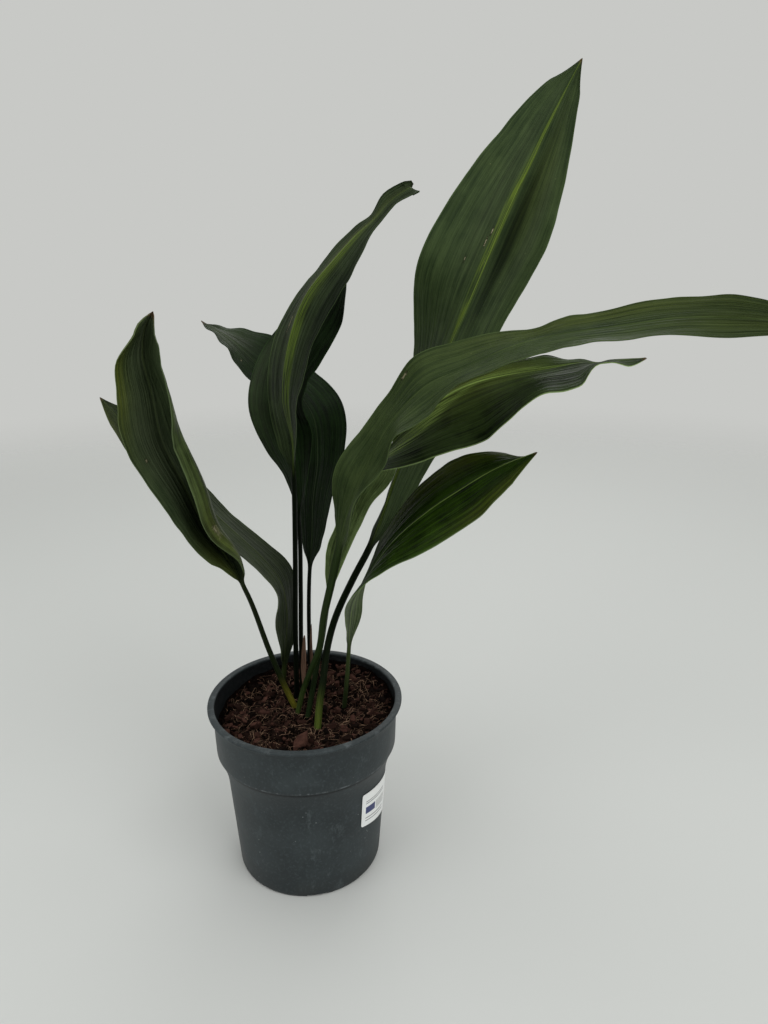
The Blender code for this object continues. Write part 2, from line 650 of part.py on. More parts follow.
def make_leaf(name, plant, material):
    """Loft the rings; each quad is split along the same diagonal on the front and on the back."""
    rings, tip = leaf_rings(plant)
    shape = bmesh.new()
    loops = [[shape.verts.new(point) for point in ring] for ring in rings]
    count = len(loops[0])
    for first, second in zip(loops, loops[1:]):
        for here in range(count):
            after = (here + 1) % count
            if here < len(ACROSS):
                shape.faces.new((first[here], first[after], second[after]))
                shape.faces.new((first[here], second[after], second[here]))
            else:
                shape.faces.new((first[here], first[after], second[here]))
                shape.faces.new((first[after], second[after], second[here]))
    shape.faces.new(reversed(loops[0]))
    end = shape.verts.new(tip)
    for here in range(count):
        shape.faces.new((loops[-1][here], loops[-1][(here + 1) % count], end))
    return add_object(name, shape, PARTS, material, smooth_angle=60)


def make_plant():
    green = new_material("leaf")
    for name, plant in LEAVES.items():
        make_leaf(name, plant, green)
    brown = new_material("sheath")
    for name, plant in SHEATHS.items():
        make_leaf(name, plant, brown)


clear_scene()
PARTS = new_collection("potted_cast_iron_plant")
CUTTERS = new_collection("cutters")
make_pot()
make_label()
make_soil()
make_plant()
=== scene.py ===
"""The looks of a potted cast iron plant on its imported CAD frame.

Metres, +Z up, origin in the middle of the pot's base, front -Y. The camera stands in front
and looks along +Y.
"""

import random
from math import atan2, cos, exp, hypot, pi, radians, sin, sqrt, tau

import bmesh
import bpy
import numpy as np
from mathutils import Matrix, Vector, noise


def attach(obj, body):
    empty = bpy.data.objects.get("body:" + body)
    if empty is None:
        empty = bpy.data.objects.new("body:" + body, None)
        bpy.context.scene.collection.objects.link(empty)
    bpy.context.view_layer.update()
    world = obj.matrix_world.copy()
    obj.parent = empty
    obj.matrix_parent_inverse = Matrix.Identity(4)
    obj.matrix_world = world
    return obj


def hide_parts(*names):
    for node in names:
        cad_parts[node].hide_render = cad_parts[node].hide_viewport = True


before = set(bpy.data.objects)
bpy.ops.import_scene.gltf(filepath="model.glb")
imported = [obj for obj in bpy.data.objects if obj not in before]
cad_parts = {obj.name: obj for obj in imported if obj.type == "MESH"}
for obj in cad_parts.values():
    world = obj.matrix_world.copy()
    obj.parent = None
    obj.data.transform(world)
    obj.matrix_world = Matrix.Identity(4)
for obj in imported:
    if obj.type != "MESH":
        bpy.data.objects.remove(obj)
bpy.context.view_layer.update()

MM = 0.001

# ---- pot: most of these are sizes of its CAD solid ----
POT_STEPS = 192
POT_HEIGHT = 155 * MM
RIM_RADIUS = 85 * MM
RIM_ROUND = 0.8 * MM                    # radius of the lip's outer edge
MOUTH_ROUND = 1.2 * MM                  # radius of the rim's inner edge
LIP_THICKNESS = 2.2 * MM
BAND_TOP_RADIUS = 80.6 * MM
BAND_FOOT_RADIUS = 79.2 * MM
BAND_FOOT_Z = 115 * MM
BAND_SLOPE = (BAND_TOP_RADIUS - BAND_FOOT_RADIUS) / (POT_HEIGHT - BAND_FOOT_Z)
SEAM_Z = BAND_FOOT_Z + 1.2 * MM         # where the band rounds in to the shoulder
SHOULDER = [(77.0, 110), (73.6, 101), (71.3, 92), (70.4, 85)]
FOOT_RADIUS = 64 * MM
FOOT_Z = 5 * MM
FOOT_EDGE = 2.2 * MM
WALL = 1.5 * MM
FLOOR_Z = 4 * MM
BASE_DISC_RADIUS = 36 * MM
BASE_GROOVE = (39 * MM, 54 * MM, 1.8 * MM)
DRAIN_HOLES = 6
DRAIN_RADIUS = 4 * MM
NOTCHES = 8
NOTCH_WIDTH = 17 * MM
NOTCH_HEIGHT = 1.8 * MM
NOTCH_FIRST_ANGLE = -80.0

# ---- label ----
LABEL_COLUMNS = 48
LABEL_ROWS = 24
LABEL_FROM_ANGLE = -44.5
LABEL_TO_ANGLE = -8.0
LABEL_LOW_Z = 57 * MM
LABEL_HIGH_Z = 90 * MM
LABEL_LOW_FALL = 11 * MM
LABEL_HIGH_FALL = 4 * MM
LABEL_GAP = 0.4 * MM
LABEL_THICKNESS = 0.3 * MM
LABEL_CORNER = 1.2 * MM

# ---- soil ----
SOIL_Z = 131 * MM
SOIL_EDGE_Z = 128 * MM
SOIL_RISE = 9 * MM
SOIL_TILT = 10.5 * MM
SOIL_HIGH_ANGLE = 60
SOIL_LUMP = 3.0 * MM
SOIL_GAP = 0.4 * MM                     # between the soil and the pot
SOIL_SIDE_Z = [60 * MM, 85 * MM, 100 * MM, 110 * MM]
SOIL_STEPS = 160
SOIL_RINGS = 60
BARK_POINTS = 44000
BARK_LENGTHS = [(1.2, 3.5), (1.2, 3.5), (3, 8), (4, 13)]    # millimetres; short ones are common
FIBRES = 2100
FIBRE_STEPS = 6
FIBRE_SIDES = 4
STALK_ROOM = 2.6 * MM                   # kept clear round the middle of each stalk

# ---- leaves ----
HOLE_DEPTH = 15 * MM
TIP_LENGTH = 1.5 * MM
BLEND_LENGTH = 26 * MM
NUDGE = 0.5 * MM
RING_SPACING = 3.0 * MM
STALK_SPACING = 6.0 * MM
HALF_COLUMNS = 24
SHEATH_HALF_COLUMNS = 8
EDGE_THICKNESS = 0.45 * MM
MIDDLE_THICKNESS = 0.8 * MM
RIB_HEIGHT = 1.1 * MM
PLEATS = 9

# Relief of a blade, in millimetres. Waves: (height, how steeply they grow to the edge, length).
PLEAT_HEIGHT = 0.26
GROOVE_DEPTH = 0.5
LONG_WAVE = (1.5, 2.5, 42)
CRIMP = (0.5, 4, 13)
BUCKLE = (0.8, 1, 60)
FULL_REACH = 18 * MM                    # half width from which the relief has its full height

# Each leaf, in millimetres and degrees. stalk: from the soil to the foot of the blade. rib: on from
# there to the tip. thick: radius of the stalk at its foot and under the blade. left, right: greatest
# half widths. belly: where the blade is widest, as a share of its length. full: how full its outline
# is, lower is fuller. turn: how far each half turns at each point from the foot to the tip; 0 lies
# across the front view, 90 points to the front, -90 to the back, and past 90 it crosses over. curl:
# how far each half bends between the rib and its edge, 20 where it isn't given.
# Some have finer shape too. taper, point: lengths of the narrow foot and tip of the blade.
# waist: narrow places, as (along, half length, share lost on the left, on the right).
# ruffle: waves at the edges, as (along, half length, height, wave length).
LEAVES = {
    "leaf_front_left": dict(
        stalk=[(-12, 20, 131), (-19, 19, 149), (-31, 12, 190), (-48, 2, 255)],
        rib=[(-57, -5, 280), (-75, -14, 317), (-87, -22, 355), (-100, -30, 396), (-102, -36, 431),
             (-105, -40, 461), (-100, -43, 481), (-93, -45, 491)],
        thick=(2.9, 2.0), left=41, right=48, belly=0.59, full=0.49,
        turn_left=[110, 100, 85, 80, 70, 70, 75, 95, 90],
        turn_right=[45, 50, 70, 65, 60, 60, 55, 50, 50],
        curl_left=20, curl_right=[40, 110, 140, 150, 130, 60, 20, 10, 10], taper=52, point=10,
        ruffle=[(247, 8, 0.25, 14)]),
    "leaf_far_left": dict(
        stalk=[(-27, 51, 137), (-25, 49, 153)],
        rib=[(-22, 45, 181), (-19, 43, 215), (-23, 41, 245), (-39, 39, 271), (-60, 37, 294),
             (-85, 35, 321), (-111, 32, 351), (-135, 28, 379), (-151, 25, 402), (-163, 22, 419)],
        thick=(2.6, 2.4), left=33, right=34, belly=0.53, full=0.57,
        turn_left=[80, 80, 70, 90, 90, 90, 80, 75, 80, 80, 75],
        turn_right=[-65, -70, -80, -75, -90, -95, -90, -75, -75, -85, -90],
        point=22),
    "leaf_centre": dict(
        stalk=[(-12, 35, 133), (-11, 34, 192), (-8, 30, 271), (-6, 26, 347)],
        rib=[(-6, 24, 378), (-12, 20, 416), (-6, 14, 457), (12, 7, 501), (32, 2, 524), (53, -3, 545),
             (64, -5, 554), (78, -7, 568), (91, -8, 576), (93, 6, 576)],
        thick=(2.4, 2.2), left=31, right=32, belly=0.45, full=0.59,
        turn_left=[-30, -40, -55, -60, -75, -75, -75, -75, -60, -55, -45],
        turn_right=[85, 75, 60, 50, 40, 50, 65, 75, 70, 55, 50],
        curl_left=25, curl_right=25, taper=20, ruffle=[(270, 18, 0.8, 22)]),
    "leaf_centre_back": dict(
        stalk=[(-7, 39, 133), (-7, 41, 188), (-6, 45, 236), (-6, 50, 302)],
        rib=[(-10, 53, 340), (-19, 56, 374), (-23, 58, 405), (-18, 60, 435), (0, 60, 465),
             (20, 58, 490), (34, 56, 507), (41, 54, 520)],
        thick=(2.2, 2.0), left=28, right=33, belly=0.51, full=0.57,
        turn_left=[-75, -60, -35, -20, -30, -40, -40, -40, -40],
        turn_right=[60, 45, 20, 40, 40, 25, 15, 50, 70]),
    "leaf_back_left": dict(
        stalk=[(0, 47, 135), (-1, 56, 180), (0, 70, 242)],
        rib=[(2, 77, 268), (4, 86, 310), (9, 93, 351), (5, 99, 388), (-16, 104, 416), (-47, 107, 437),
             (-74, 109, 461), (-96, 110, 475)],
        thick=(2.0, 1.9), left=28, right=36, belly=0.62, full=0.55,
        turn_left=[45, 50, 55, 50, 55, 60, 65, 85, 90],
        turn_right=[-70, -60, -50, -45, -40, -55, -35, -75, -105],
        taper=20, point=16, ruffle=[(262, 26, 1.8, 21)]),
    "leaf_tall_right": dict(
        stalk=[(11, -13, 131), (13, -6, 152), (16, 2, 170), (19, 9, 193), (24, 19, 212), (43, 35, 252),
               (56, 42, 275)],
        rib=[(83, 58, 345), (112, 66, 415), (132, 68, 461), (151, 70, 505), (172, 71, 556),
             (198, 71, 612), (222, 75, 661), (233, 76, 682)],
        thick=(3.1, 3.1), left=59, right=52, belly=0.53, full=0.64,
        turn_left=[-85, -95, -75, -55, -25, -30, -40, -50, -60],
        turn_right=[-40, -40, -40, -40, -35, -20, -30, -45, -55],
        curl_left=15, curl_right=15, point=20),
    "leaf_long_right": dict(
        stalk=[(-9, 11, 131), (-2, 8, 158), (5, 5, 177), (13, 1, 199), (19, -5, 235), (26, -10, 265),
               (31, -14, 288)],
        rib=[(39, -19, 324), (50, -25, 355), (64, -31, 385), (82, -38, 415), (103, -47, 437),
             (129, -56, 450), (161, -77, 468), (187, -94, 476), (219, -116, 483), (248, -137, 489),
             (271, -155, 490), (288, -170, 489), (300, -180, 487)],
        thick=(2.2, 3.5), left=30, right=33, belly=0.44, full=0.4,
        turn_left=[-80, -55, -35, -60, -65, -50, -62, -82, -72, -65, -60, -40, -35, -40],
        turn_right=[75, 80, 85, 75, 85, 65, 85, 80, 85, 80, 70, 50, 40, 30],
        taper=30, waist=[(145, 15, 0, -0.2), (305, 52, 0.17, -0.13)]),
    "leaf_mid_right": dict(
        stalk=[(1, 4, 131), (4, 9, 148), (7, 13, 163), (10, 17, 179), (14, 21, 198), (20, 25, 235)],
        rib=[(28, 32, 270), (39, 37, 306), (52, 39, 334), (66, 36, 357), (89, 29, 386), (117, 20, 413),
             (144, 9, 429), (171, 3, 436), (198, -2, 440), (224, -7, 446), (241, -10, 447),
             (257, -11, 449), (274, -12, 451)],
        thick=(2.4, 2.5), left=49, right=23, belly=0.63, full=0.77,
        turn_left=[60, 55, 70, 60, 80, 110, 135, 145, 120, 100, 105, 80, 95, 100],
        turn_right=[45, 40, 35, 35, -20, -125, -95, -95, -110, -120, -95, -90, -90, -95],
        taper=10, point=34, waist=[(340, 9, 0.6, 0.6)], ruffle=[(318, 24, 1.3, 30)]),
    "leaf_low_right": dict(
        stalk=[(33, 17, 133), (36, 16, 161), (38, 15, 186)],
        rib=[(40, 13, 216), (44, 10, 239), (57, 5, 264), (77, -2, 296), (106, -9, 326), (135, -16, 349),
             (163, -22, 368), (190, -27, 381)],
        thick=(2.2, 1.9), left=35, right=38, belly=0.59, full=0.73,
        turn_left=[85, 80, 70, 75, 95, 115, 125, 115, 105],
        turn_right=[-70, -65, -75, -90, -95, -110, -115, -100, -60],
        taper=18, point=26),
}

# Dry brown sheaths that stand at the foot of the middle stalks.
SHEATHS = {
    "sheath_centre": dict(
        stalk=[(-5, 33, 131), (-5, 33, 138)],
        rib=[(-5, 34, 160), (-4, 35, 182), (-3, 36, 196)],
        thick=(1.3, 1.3), left=2.6, right=2.6, belly=0.45, full=0.45,
        turn_left=[-25, -25, -25, -25],
        turn_right=[-25, -25, -25, -25],
        curl_left=40, curl_right=40),
    "sheath_back": dict(
        stalk=[(3, 40, 133), (3, 40, 141)],
        rib=[(2, 41, 160), (2, 42, 185), (3, 43, 204)],
        thick=(1.3, 1.3), left=1.8, right=1.8, belly=0.4, full=0.5,
        turn_left=[-35, -35, -35, -35],
        turn_right=[-35, -35, -35, -35],
        curl_left=30, curl_right=30),
}

# How each leaf looks, in 8 bit screen colours. front, back: dark and light green of its two faces.
# rib: colour of the streaks beside the midrib. band: where they run, as (along, half width in
# millimetres, strength, middle across). yellow: soft yellow patches; dark: patches of painted shade;
# pale: patches of painted sheen; each as (across, half width across, along, half length, strength),
# where across runs from -1 on the left edge to 1 on the right.
# scars: small dry spots, as (across, along, width, length, strength). foot, top: colours of the
# stalk. shine: strength of its reflections.
LOOKS = {
    "leaf_front_left": dict(
        front=((40, 52, 32), (68, 80, 54)), back=((26, 33, 17), (72, 86, 50)), rib=(60, 72, 34),
        band=[(0, 2, 0.5, 0), (120, 1, 0.3, 0), (253, 0.8, 0.5, 0)],
        yellow=[(-1.0, 0.34, 205, 38, 0.75), (-0.7, 0.4, 34, 30, 0.5), (0.8, 0.2, 60, 50, 0.35)],
        dark=[(-0.2, 0.5, 80, 40, 0.8), (0.1, 0.3, 40, 30, 0.8)],
        pale=[(-0.1, 0.25, 235, 24, 0.3), (-0.35, 0.35, 165, 36, 0.3), (-0.3, 0.3, 120, 30, 0.2)],
        scars=[(0.78, 74, 8, 17, 0.3), (0.8, 76, 2.6, 6, 0.6), (-0.6, 146, 2.2, 2.6, 0.8)],
        foot=(132, 128, 44), top=(30, 40, 18), shine=0.07),
    "leaf_far_left": dict(
        front=((28, 38, 20), (60, 70, 46)), back=((27, 36, 21), (77, 89, 58)), rib=(74, 84, 48),
        band=[(0, 1, 0.6, 0), (318, 0.6, 0.5, 0)], yellow=[(-0.8, 0.5, 300, 30, 0.3)],
        dark=[(0.6, 0.6, 70, 50, 0.7)], pale=[(-0.3, 0.2, 200, 70, 0.12)],
        foot=(60, 72, 34), top=(32, 44, 22), shine=0.063),
    "leaf_centre": dict(
        front=((15, 24, 11), (55, 68, 41)), back=((11, 18, 8), (41, 53, 29)), rib=(78, 96, 32),
        band=[(0, 1.5, 0.7, 0), (60, 3.5, 0.9, 0.25), (150, 5.5, 1.0, 0.05), (215, 4.5, 0.8, 0),
              (250, 2, 0.3, 0), (284, 1, 0.1, 0)],
        yellow=[(-0.2, 0.3, 200, 50, 0.35)],
        dark=[(0.95, 0.5, 130, 90, 0.9), (-0.45, 0.12, 120, 50, 0.8), (0.8, 0.3, 190, 60, 0.35)],
        scars=[(-0.42, 130, 0.6, 16, 0.8), (-0.3, 160, 0.5, 10, 0.8)],
        foot=(10, 15, 9), top=(14, 22, 10), shine=0.063),
    "leaf_centre_back": dict(
        front=((6, 14, 4), (27, 46, 18)), back=((9, 15, 7), (36, 48, 26)), rib=(38, 50, 24),
        band=[(0, 1, 0.5, 0), (240, 0.7, 0.4, 0)], dark=[(0.6, 0.7, 150, 90, 0.4)],
        pale=[(-0.8, 0.5, 120, 60, 0.15)],
        foot=(14, 20, 12), top=(14, 22, 10), shine=0.063),
    "leaf_back_left": dict(
        front=((5, 14, 4), (24, 42, 15)), back=((9, 17, 8), (38, 53, 31)), rib=(44, 56, 32),
        band=[(0, 0.8, 0.4, 0), (285, 0.7, 0.6, 0)], dark=[(0.0, 1.2, 60, 70, 0.4)],
        pale=[(0.0, 1.0, 268, 30, 0.3)], scars=[(-0.5, 232, 1.6, 2, 0.8)],
        foot=(20, 30, 14), top=(14, 24, 10), shine=0.07),
    "leaf_tall_right": dict(
        front=((36, 50, 27), (62, 77, 45)), back=((27, 38, 21), (74, 91, 55)), rib=(90, 108, 38),
        band=[(0, 1.5, 0.5, 0), (200, 3.0, 0.8, -0.01), (330, 3.2, 1.0, -0.03), (446, 0.6, 0.5, 0)],
        yellow=[(0.45, 0.25, 350, 60, 0.12)],
        dark=[(0.27, 0.17, 295, 90, 1.0), (-0.2, 0.04, 300, 90, 0.45), (-0.34, 0.05, 330, 60, 0.5),
              (0.6, 0.08, 330, 60, 0.3)],
        pale=[(-0.3, 0.25, 320, 100, 0.08), (0.65, 0.14, 300, 80, 0.15)],
        scars=[(-0.13, 287, 1.2, 8, 1.0), (-0.1, 297, 1.1, 6, 1.0), (-0.33, 268, 0.8, 5, 0.9)],
        foot=(98, 114, 48), top=(20, 30, 13), shine=0.056),
    "leaf_long_right": dict(
        front=((33, 47, 22), (60, 74, 40)), back=((26, 35, 18), (67, 82, 48)), rib=(66, 80, 42),
        band=[(0, 1.2, 0.3, 0), (200, 0.8, 0.4, 0), (420, 0.7, 0.5, 0)],
        yellow=[(-0.8, 0.4, 300, 90, 0.28), (0.2, 0.6, 390, 50, 0.15)],
        dark=[(0.72, 0.05, 110, 70, 0.55), (0.1, 1.4, 415, 70, 0.35)],
        scars=[(-0.83, 156, 2.4, 6, 0.8)],
        foot=(76, 96, 46), top=(40, 56, 24), shine=0.077),
    "leaf_mid_right": dict(
        # front: painted light; the underside's greens are much lighter than its own colour, as it faces down
        # under leaf_long_right
        front=((58, 73, 41), (134, 156, 98)), back=((14, 23, 8), (50, 67, 31)), rib=(98, 118, 54),
        band=[(0, 1.0, 0.3, 0), (145, 7.0, 0.7, -0.45), (200, 7.0, 1.0, -0.15), (245, 6.0, 1.0, 0.1),
              (290, 3.5, 0.8, 0.15), (340, 1.2, 0.6, 0), (377, 0.8, 0.5, 0)],
        yellow=[(0.3, 0.6, 235, 60, 0.4)], dark=[(-0.5, 0.25, 320, 40, 0.5)],
        pale=[(0.3, 0.7, 355, 20, 0.1)],
        foot=(36, 52, 26), top=(36, 52, 26), shine=0.07),
    "leaf_low_right": dict(
        front=((36, 46, 29), (91, 106, 70)), back=((6, 17, 2), (44, 68, 12)), rib=(104, 124, 62),
        band=[(0, 0.8, 0.4, 0), (100, 0.9, 0.8, 0), (265, 0.7, 0.9, 0)],
        yellow=[(0.85, 0.3, 200, 70, 0.5), (-0.9, 0.25, 230, 50, 0.35)],
        dark=[(0.5, 0.5, 130, 50, 0.3)],
        foot=(40, 52, 28), top=(66, 80, 44), shine=0.098),
}

# Screen colours that all leaves share.
SHADE_GREEN = (8, 18, 5)
YELLOW_GREEN = (92, 100, 28)
# painted sheen: the light that the waxy leaves reflect, laid on as colour in the pale patches
PAINTED_SHEEN_GREEN = (108, 118, 92)
FLECK = (120, 126, 84)
SCAR_EDGE = (34, 32, 18)
SCAR = (150, 144, 116)
DRY_TIP = (96, 74, 52)


# ---- node trees ----

def linear(colour):
    """An 8 bit screen colour as linear light."""
    values = [channel / 255 for channel in colour]
    return tuple(v / 12.92 if v <= 0.04045 else ((v + 0.055) / 1.055) ** 2.4 for v in values) + (1.0,)


def tinted(colour, gain, lift=0):
    """A screen colour made lighter or darker."""
    return tuple(min(255, channel * gain + lift) for channel in colour)


class Tree:
    """Short ways to add and join shader nodes."""

    def __init__(self, name):
        self.material = bpy.data.materials.new(name)
        self.material.use_nodes = True
        self.nodes = self.material.node_tree.nodes
        self.links = self.material.node_tree.links
        self.shader = self.nodes["Principled BSDF"]
        self.colour = None

    def put(self, socket, value):
        """Join a node's output to a socket, or set it; a tuple is a screen colour."""
        if isinstance(value, bpy.types.NodeSocket):
            self.links.new(value, socket)
        elif isinstance(value, tuple):
            socket.default_value = linear(value)
        elif value is not None:
            socket.default_value = value

    def add(self, kind, inputs=(), **settings):
        """A node with these inputs, in order or by name, and settings."""
        node = self.nodes.new(kind)
        for key, value in settings.items():
            setattr(node, key, value)
        for key, value in inputs.items() if isinstance(inputs, dict) else enumerate(inputs):
            self.put(node.inputs[key], value)
        return node

    def attribute(self, name):
        return self.add("ShaderNodeAttribute", attribute_name=name).outputs["Fac"]

    def position(self):
        return self.add("ShaderNodeTexCoord").outputs["Object"]

    def math(self, operation, *values, clamp=False):
        return self.add("ShaderNodeMath", values, operation=operation, use_clamp=clamp).outputs[0]

    def plus(self, first, second):
        return self.math("ADD", first, second)

    def times(self, first, second):
        return self.math("MULTIPLY", first, second)

    def away(self, first, second):
        """The distance between two values."""
        return self.math("ABSOLUTE", self.math("SUBTRACT", first, second))

    def length(self, vector):
        return self.add("ShaderNodeVectorMath", (vector,), operation="LENGTH").outputs["Value"]

    def mix(self, share, first, second):
        inputs = {"Factor": share, "A": first, "B": second}
        return self.add("ShaderNodeMix", inputs, data_type="RGBA").outputs["Result"]

    def over(self, share, colour):
        """Lay a colour over the colour so far."""
        self.colour = self.mix(share, self.colour, colour)

    def span(self, value, low, high, to_low=0.0, to_high=1.0):
        """The value moved from one range to another, with soft ends."""
        inputs = (value, low, high, to_low, to_high)
        return self.add("ShaderNodeMapRange", inputs, interpolation_type="SMOOTHSTEP").outputs[0]

    def vector(self, x, y, z=0.0):
        return self.add("ShaderNodeCombineXYZ", (x, y, z)).outputs[0]

    def noise(self, where, scale, detail=2.0, rough=0.5):
        inputs = {"Vector": where, "Scale": scale, "Detail": detail, "Roughness": rough}
        return self.add("ShaderNodeTexNoise", inputs).outputs["Fac"]

    def cells(self, where, scale):
        return self.add("ShaderNodeTexVoronoi", {"Vector": where, "Scale": scale}).outputs["Distance"]

    def bump(self, height, distance, strength=1.0, under=None):
        inputs = {"Height": height, "Distance": distance, "Strength": strength, "Normal": under}
        return self.add("ShaderNodeBump", inputs).outputs[0]

    def finish(self, colour, rough, normal=None, specular=0.5):
        self.put(self.shader.inputs["Base Color"], colour)
        self.put(self.shader.inputs["Roughness"], rough)
        self.put(self.shader.inputs["Normal"], normal)
        self.put(self.shader.inputs["Specular IOR Level"], specular)
        return self.material


# ---- meshes ----

def new_object(name, points, faces, material, slot, smooth_angle=40, attributes=None):
    """A piece from its points and faces, with number attributes on its points."""
    mesh = bpy.data.meshes.new(name)
    mesh.from_pydata(points, [], faces)
    for key, values in (attributes or {}).items():
        layer = mesh.attributes.new(key, "FLOAT", "POINT")
        layer.data.foreach_set("value", np.asarray(values, np.float32))
    mesh.update()
    mesh.shade_smooth()
    mesh.set_sharp_from_angle(angle=radians(smooth_angle))
    mesh.materials.append(material)
    item = bpy.data.objects.new(name, mesh)
    bpy.context.scene.collection.objects.link(item)
    if slot:
        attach(item, "root")
    return item


def loft_faces(rings, count):
    """Quads between closed rings of the same count, numbered ring after ring."""
    here = np.arange(count)
    after = (here + 1) % count
    faces = []
    for number in range(rings - 1):
        low = number * count
        high = low + count
        faces.append(np.stack([low + here, low + after, high + after, high + here], axis=1))
    return np.concatenate(faces).tolist()


def capped_faces(rings, count):
    """Faces over closed rings, with a flat cap under the first and a last point above the last."""
    last = (rings - 1) * count
    faces = loft_faces(rings, count)
    faces += [[last + here, last + (here + 1) % count, rings * count] for here in range(count)]
    return faces + [list(range(count))[::-1]]


def circle(radius, steps):
    """Places round a circle about the pot's axis."""
    turns = [tau * number / steps for number in range(steps)]
    return [(radius * cos(turn), radius * sin(turn)) for turn in turns]


# ---- leaves ----

def smooth(knots, values, places):
    """Read a smooth curve through the values at the knots; it has no corners."""
    values = np.asarray(values, float)
    rows = values.reshape(len(knots), -1)
    steps = np.diff(knots)[:, None]
    slopes = np.diff(rows, axis=0) / steps
    inner = (steps[1:] * slopes[:-1] + steps[:-1] * slopes[1:]) / (steps[:-1] + steps[1:])
    tangents = np.concatenate([slopes[:1], inner, slopes[-1:]])
    span = np.clip(np.searchsorted(knots, places, side="right") - 1, 0, len(steps) - 1)
    length = steps[span]
    share = (places - knots[span])[:, None] / length
    start = (2 * share ** 3 - 3 * share ** 2 + 1) * rows[span]
    start += (share ** 3 - 2 * share ** 2 + share) * length * tangents[span]
    end = (3 * share ** 2 - 2 * share ** 3) * rows[span + 1]
    end += (share ** 3 - share ** 2) * length * tangents[span + 1]
    return (start + end).reshape(len(places), *values.shape[1:])


def outline(share, belly, full):
    """Half width along the blade, 1 at the belly and 0 at its foot and tip."""
    share = np.clip(share, 0, 1)
    return (share / belly) ** full * ((1 - share) / (1 - belly)) ** (full * (1 - belly) / belly)


def leaf_path(plant):
    """Knots along the leaf, its points, and where along it the blade begins."""
    first, second = (Vector(point) * MM for point in plant["stalk"][:2])
    along = (second - first).normalized()
    points = [first - along * HOLE_DEPTH] + [Vector(p) * MM for p in plant["stalk"] + plant["rib"]]
    points = np.array([tuple(point) for point in points])
    knots = np.concatenate([[0], np.cumsum(np.linalg.norm(np.diff(points, axis=0), axis=1))])
    return knots, points, knots[len(plant["stalk"])]


def leaf_frames(knots, points, places):
    """At each place: the point, the direction across to the left, and the direction to the front."""
    ahead = smooth(knots, points, np.minimum(places + NUDGE, knots[-1]))
    behind = smooth(knots, points, np.maximum(places - NUDGE, 0))
    along = ahead - behind
    along /= np.linalg.norm(along, axis=1)[:, None]
    left = np.cross(along, (0, 1, 0))
    left /= np.linalg.norm(left, axis=1)[:, None]
    return smooth(knots, points, places), left, np.cross(along, left)


def leaf_places(knots, foot):
    """Where the rings go along a leaf."""
    stalk = np.linspace(0, foot, max(4, round(foot / STALK_SPACING)), endpoint=False)
    blade = np.linspace(foot, knots[-1] - TIP_LENGTH, max(8, round((knots[-1] - foot) / RING_SPACING)))
    return np.concatenate([stalk, blade])


def bend(plant, knots, places, side):
    """Angle at the rib and the curl of one half of the blade at each place, in radians."""
    blade_knots = knots[len(plant["stalk"]):]
    here = np.maximum(places, blade_knots[0])
    turn = np.radians(smooth(blade_knots, plant["turn_" + side], here))
    curls = np.broadcast_to(plant.get("curl_" + side, 20), blade_knots.shape)
    curl = np.radians(smooth(blade_knots, curls, here))
    return turn - curl / 2, curl


def wavy(places, seed, length):
    """A smooth wandering curve along the leaf, about -1 to 1."""
    return np.array([noise.noise(Vector((place / length, seed, 0.5))) for place in places]) * 2


def blade_reach(plant, along, length, side):
    """Half width of one half of the blade, in metres, at places in millimetres from its foot."""
    reach = outline(along / length, plant["belly"], plant["full"]) * plant[side] * MM
    reach *= np.clip(0.25 + 0.75 * along / plant.get("taper", 1), 0.25, 1) ** 0.8
    reach *= np.clip((length - along) / plant.get("point", 1), 0.03, 1) ** 0.55
    for where, run, *lost in plant.get("waist", ()):
        reach *= 1 - lost[side == "right"] * np.exp(-((along - where) / run) ** 2)
    return reach


def relief(plant, places, along, full, across, seed):
    """How far one line of the blade stands forward: waves, pleats, the groove of the rib, ruffles."""
    aside, sign = abs(across), 1 if across < 0 else -1
    phase = tau * PLEATS * aside
    lift = PLEAT_HEIGHT * (cos(phase) + 0.5 * cos(2.3 * phase + seed))
    lift -= GROOVE_DEPTH * exp(-(across * 14) ** 2)
    waves = ((LONG_WAVE, 3.7 * sign), (CRIMP, 9.1 * sign), (BUCKLE, 2.3 * across))
    for (height, power, length), shift in waves:
        lift = lift + height * aside ** power * wavy(places, seed + shift, length * MM)
    lift *= full
    for where, run, height, length in plant.get("ruffle", ()):
        fade = np.exp(-((along - where) / run) ** 2) * aside ** 1.6
        lift += height * fade * np.sin(tau * along / length + 1.3 * sign + seed)
    return lift * MM


def blade_line(plant, knots, places, across, seed):
    """One line along the blade: offsets from the rib, left and front, its front normal and its reach."""
    side, sign = ("left", 1) if across < 0 else ("right", -1)
    foot = knots[len(plant["stalk"])]
    along = (places - foot) / MM
    reach = blade_reach(plant, along, (knots[-1] - foot) / MM, side)
    begin, curl = bend(plant, knots, places, side)
    here = begin + curl * abs(across)
    normal = np.stack([-sign * np.sin(here), np.cos(here)])
    if across == 0:
        other, _ = bend(plant, knots, places, "left")
        normal = np.stack([np.sin((here - other) / 2), np.cos((here - other) / 2)])
    offset = np.stack([sign * (np.sin(here) - np.sin(begin)), np.cos(begin) - np.cos(here)])
    full = np.clip(reach / FULL_REACH, 0, 1)
    return reach / curl * offset + relief(plant, places, along, full, across, seed) * normal, normal, reach


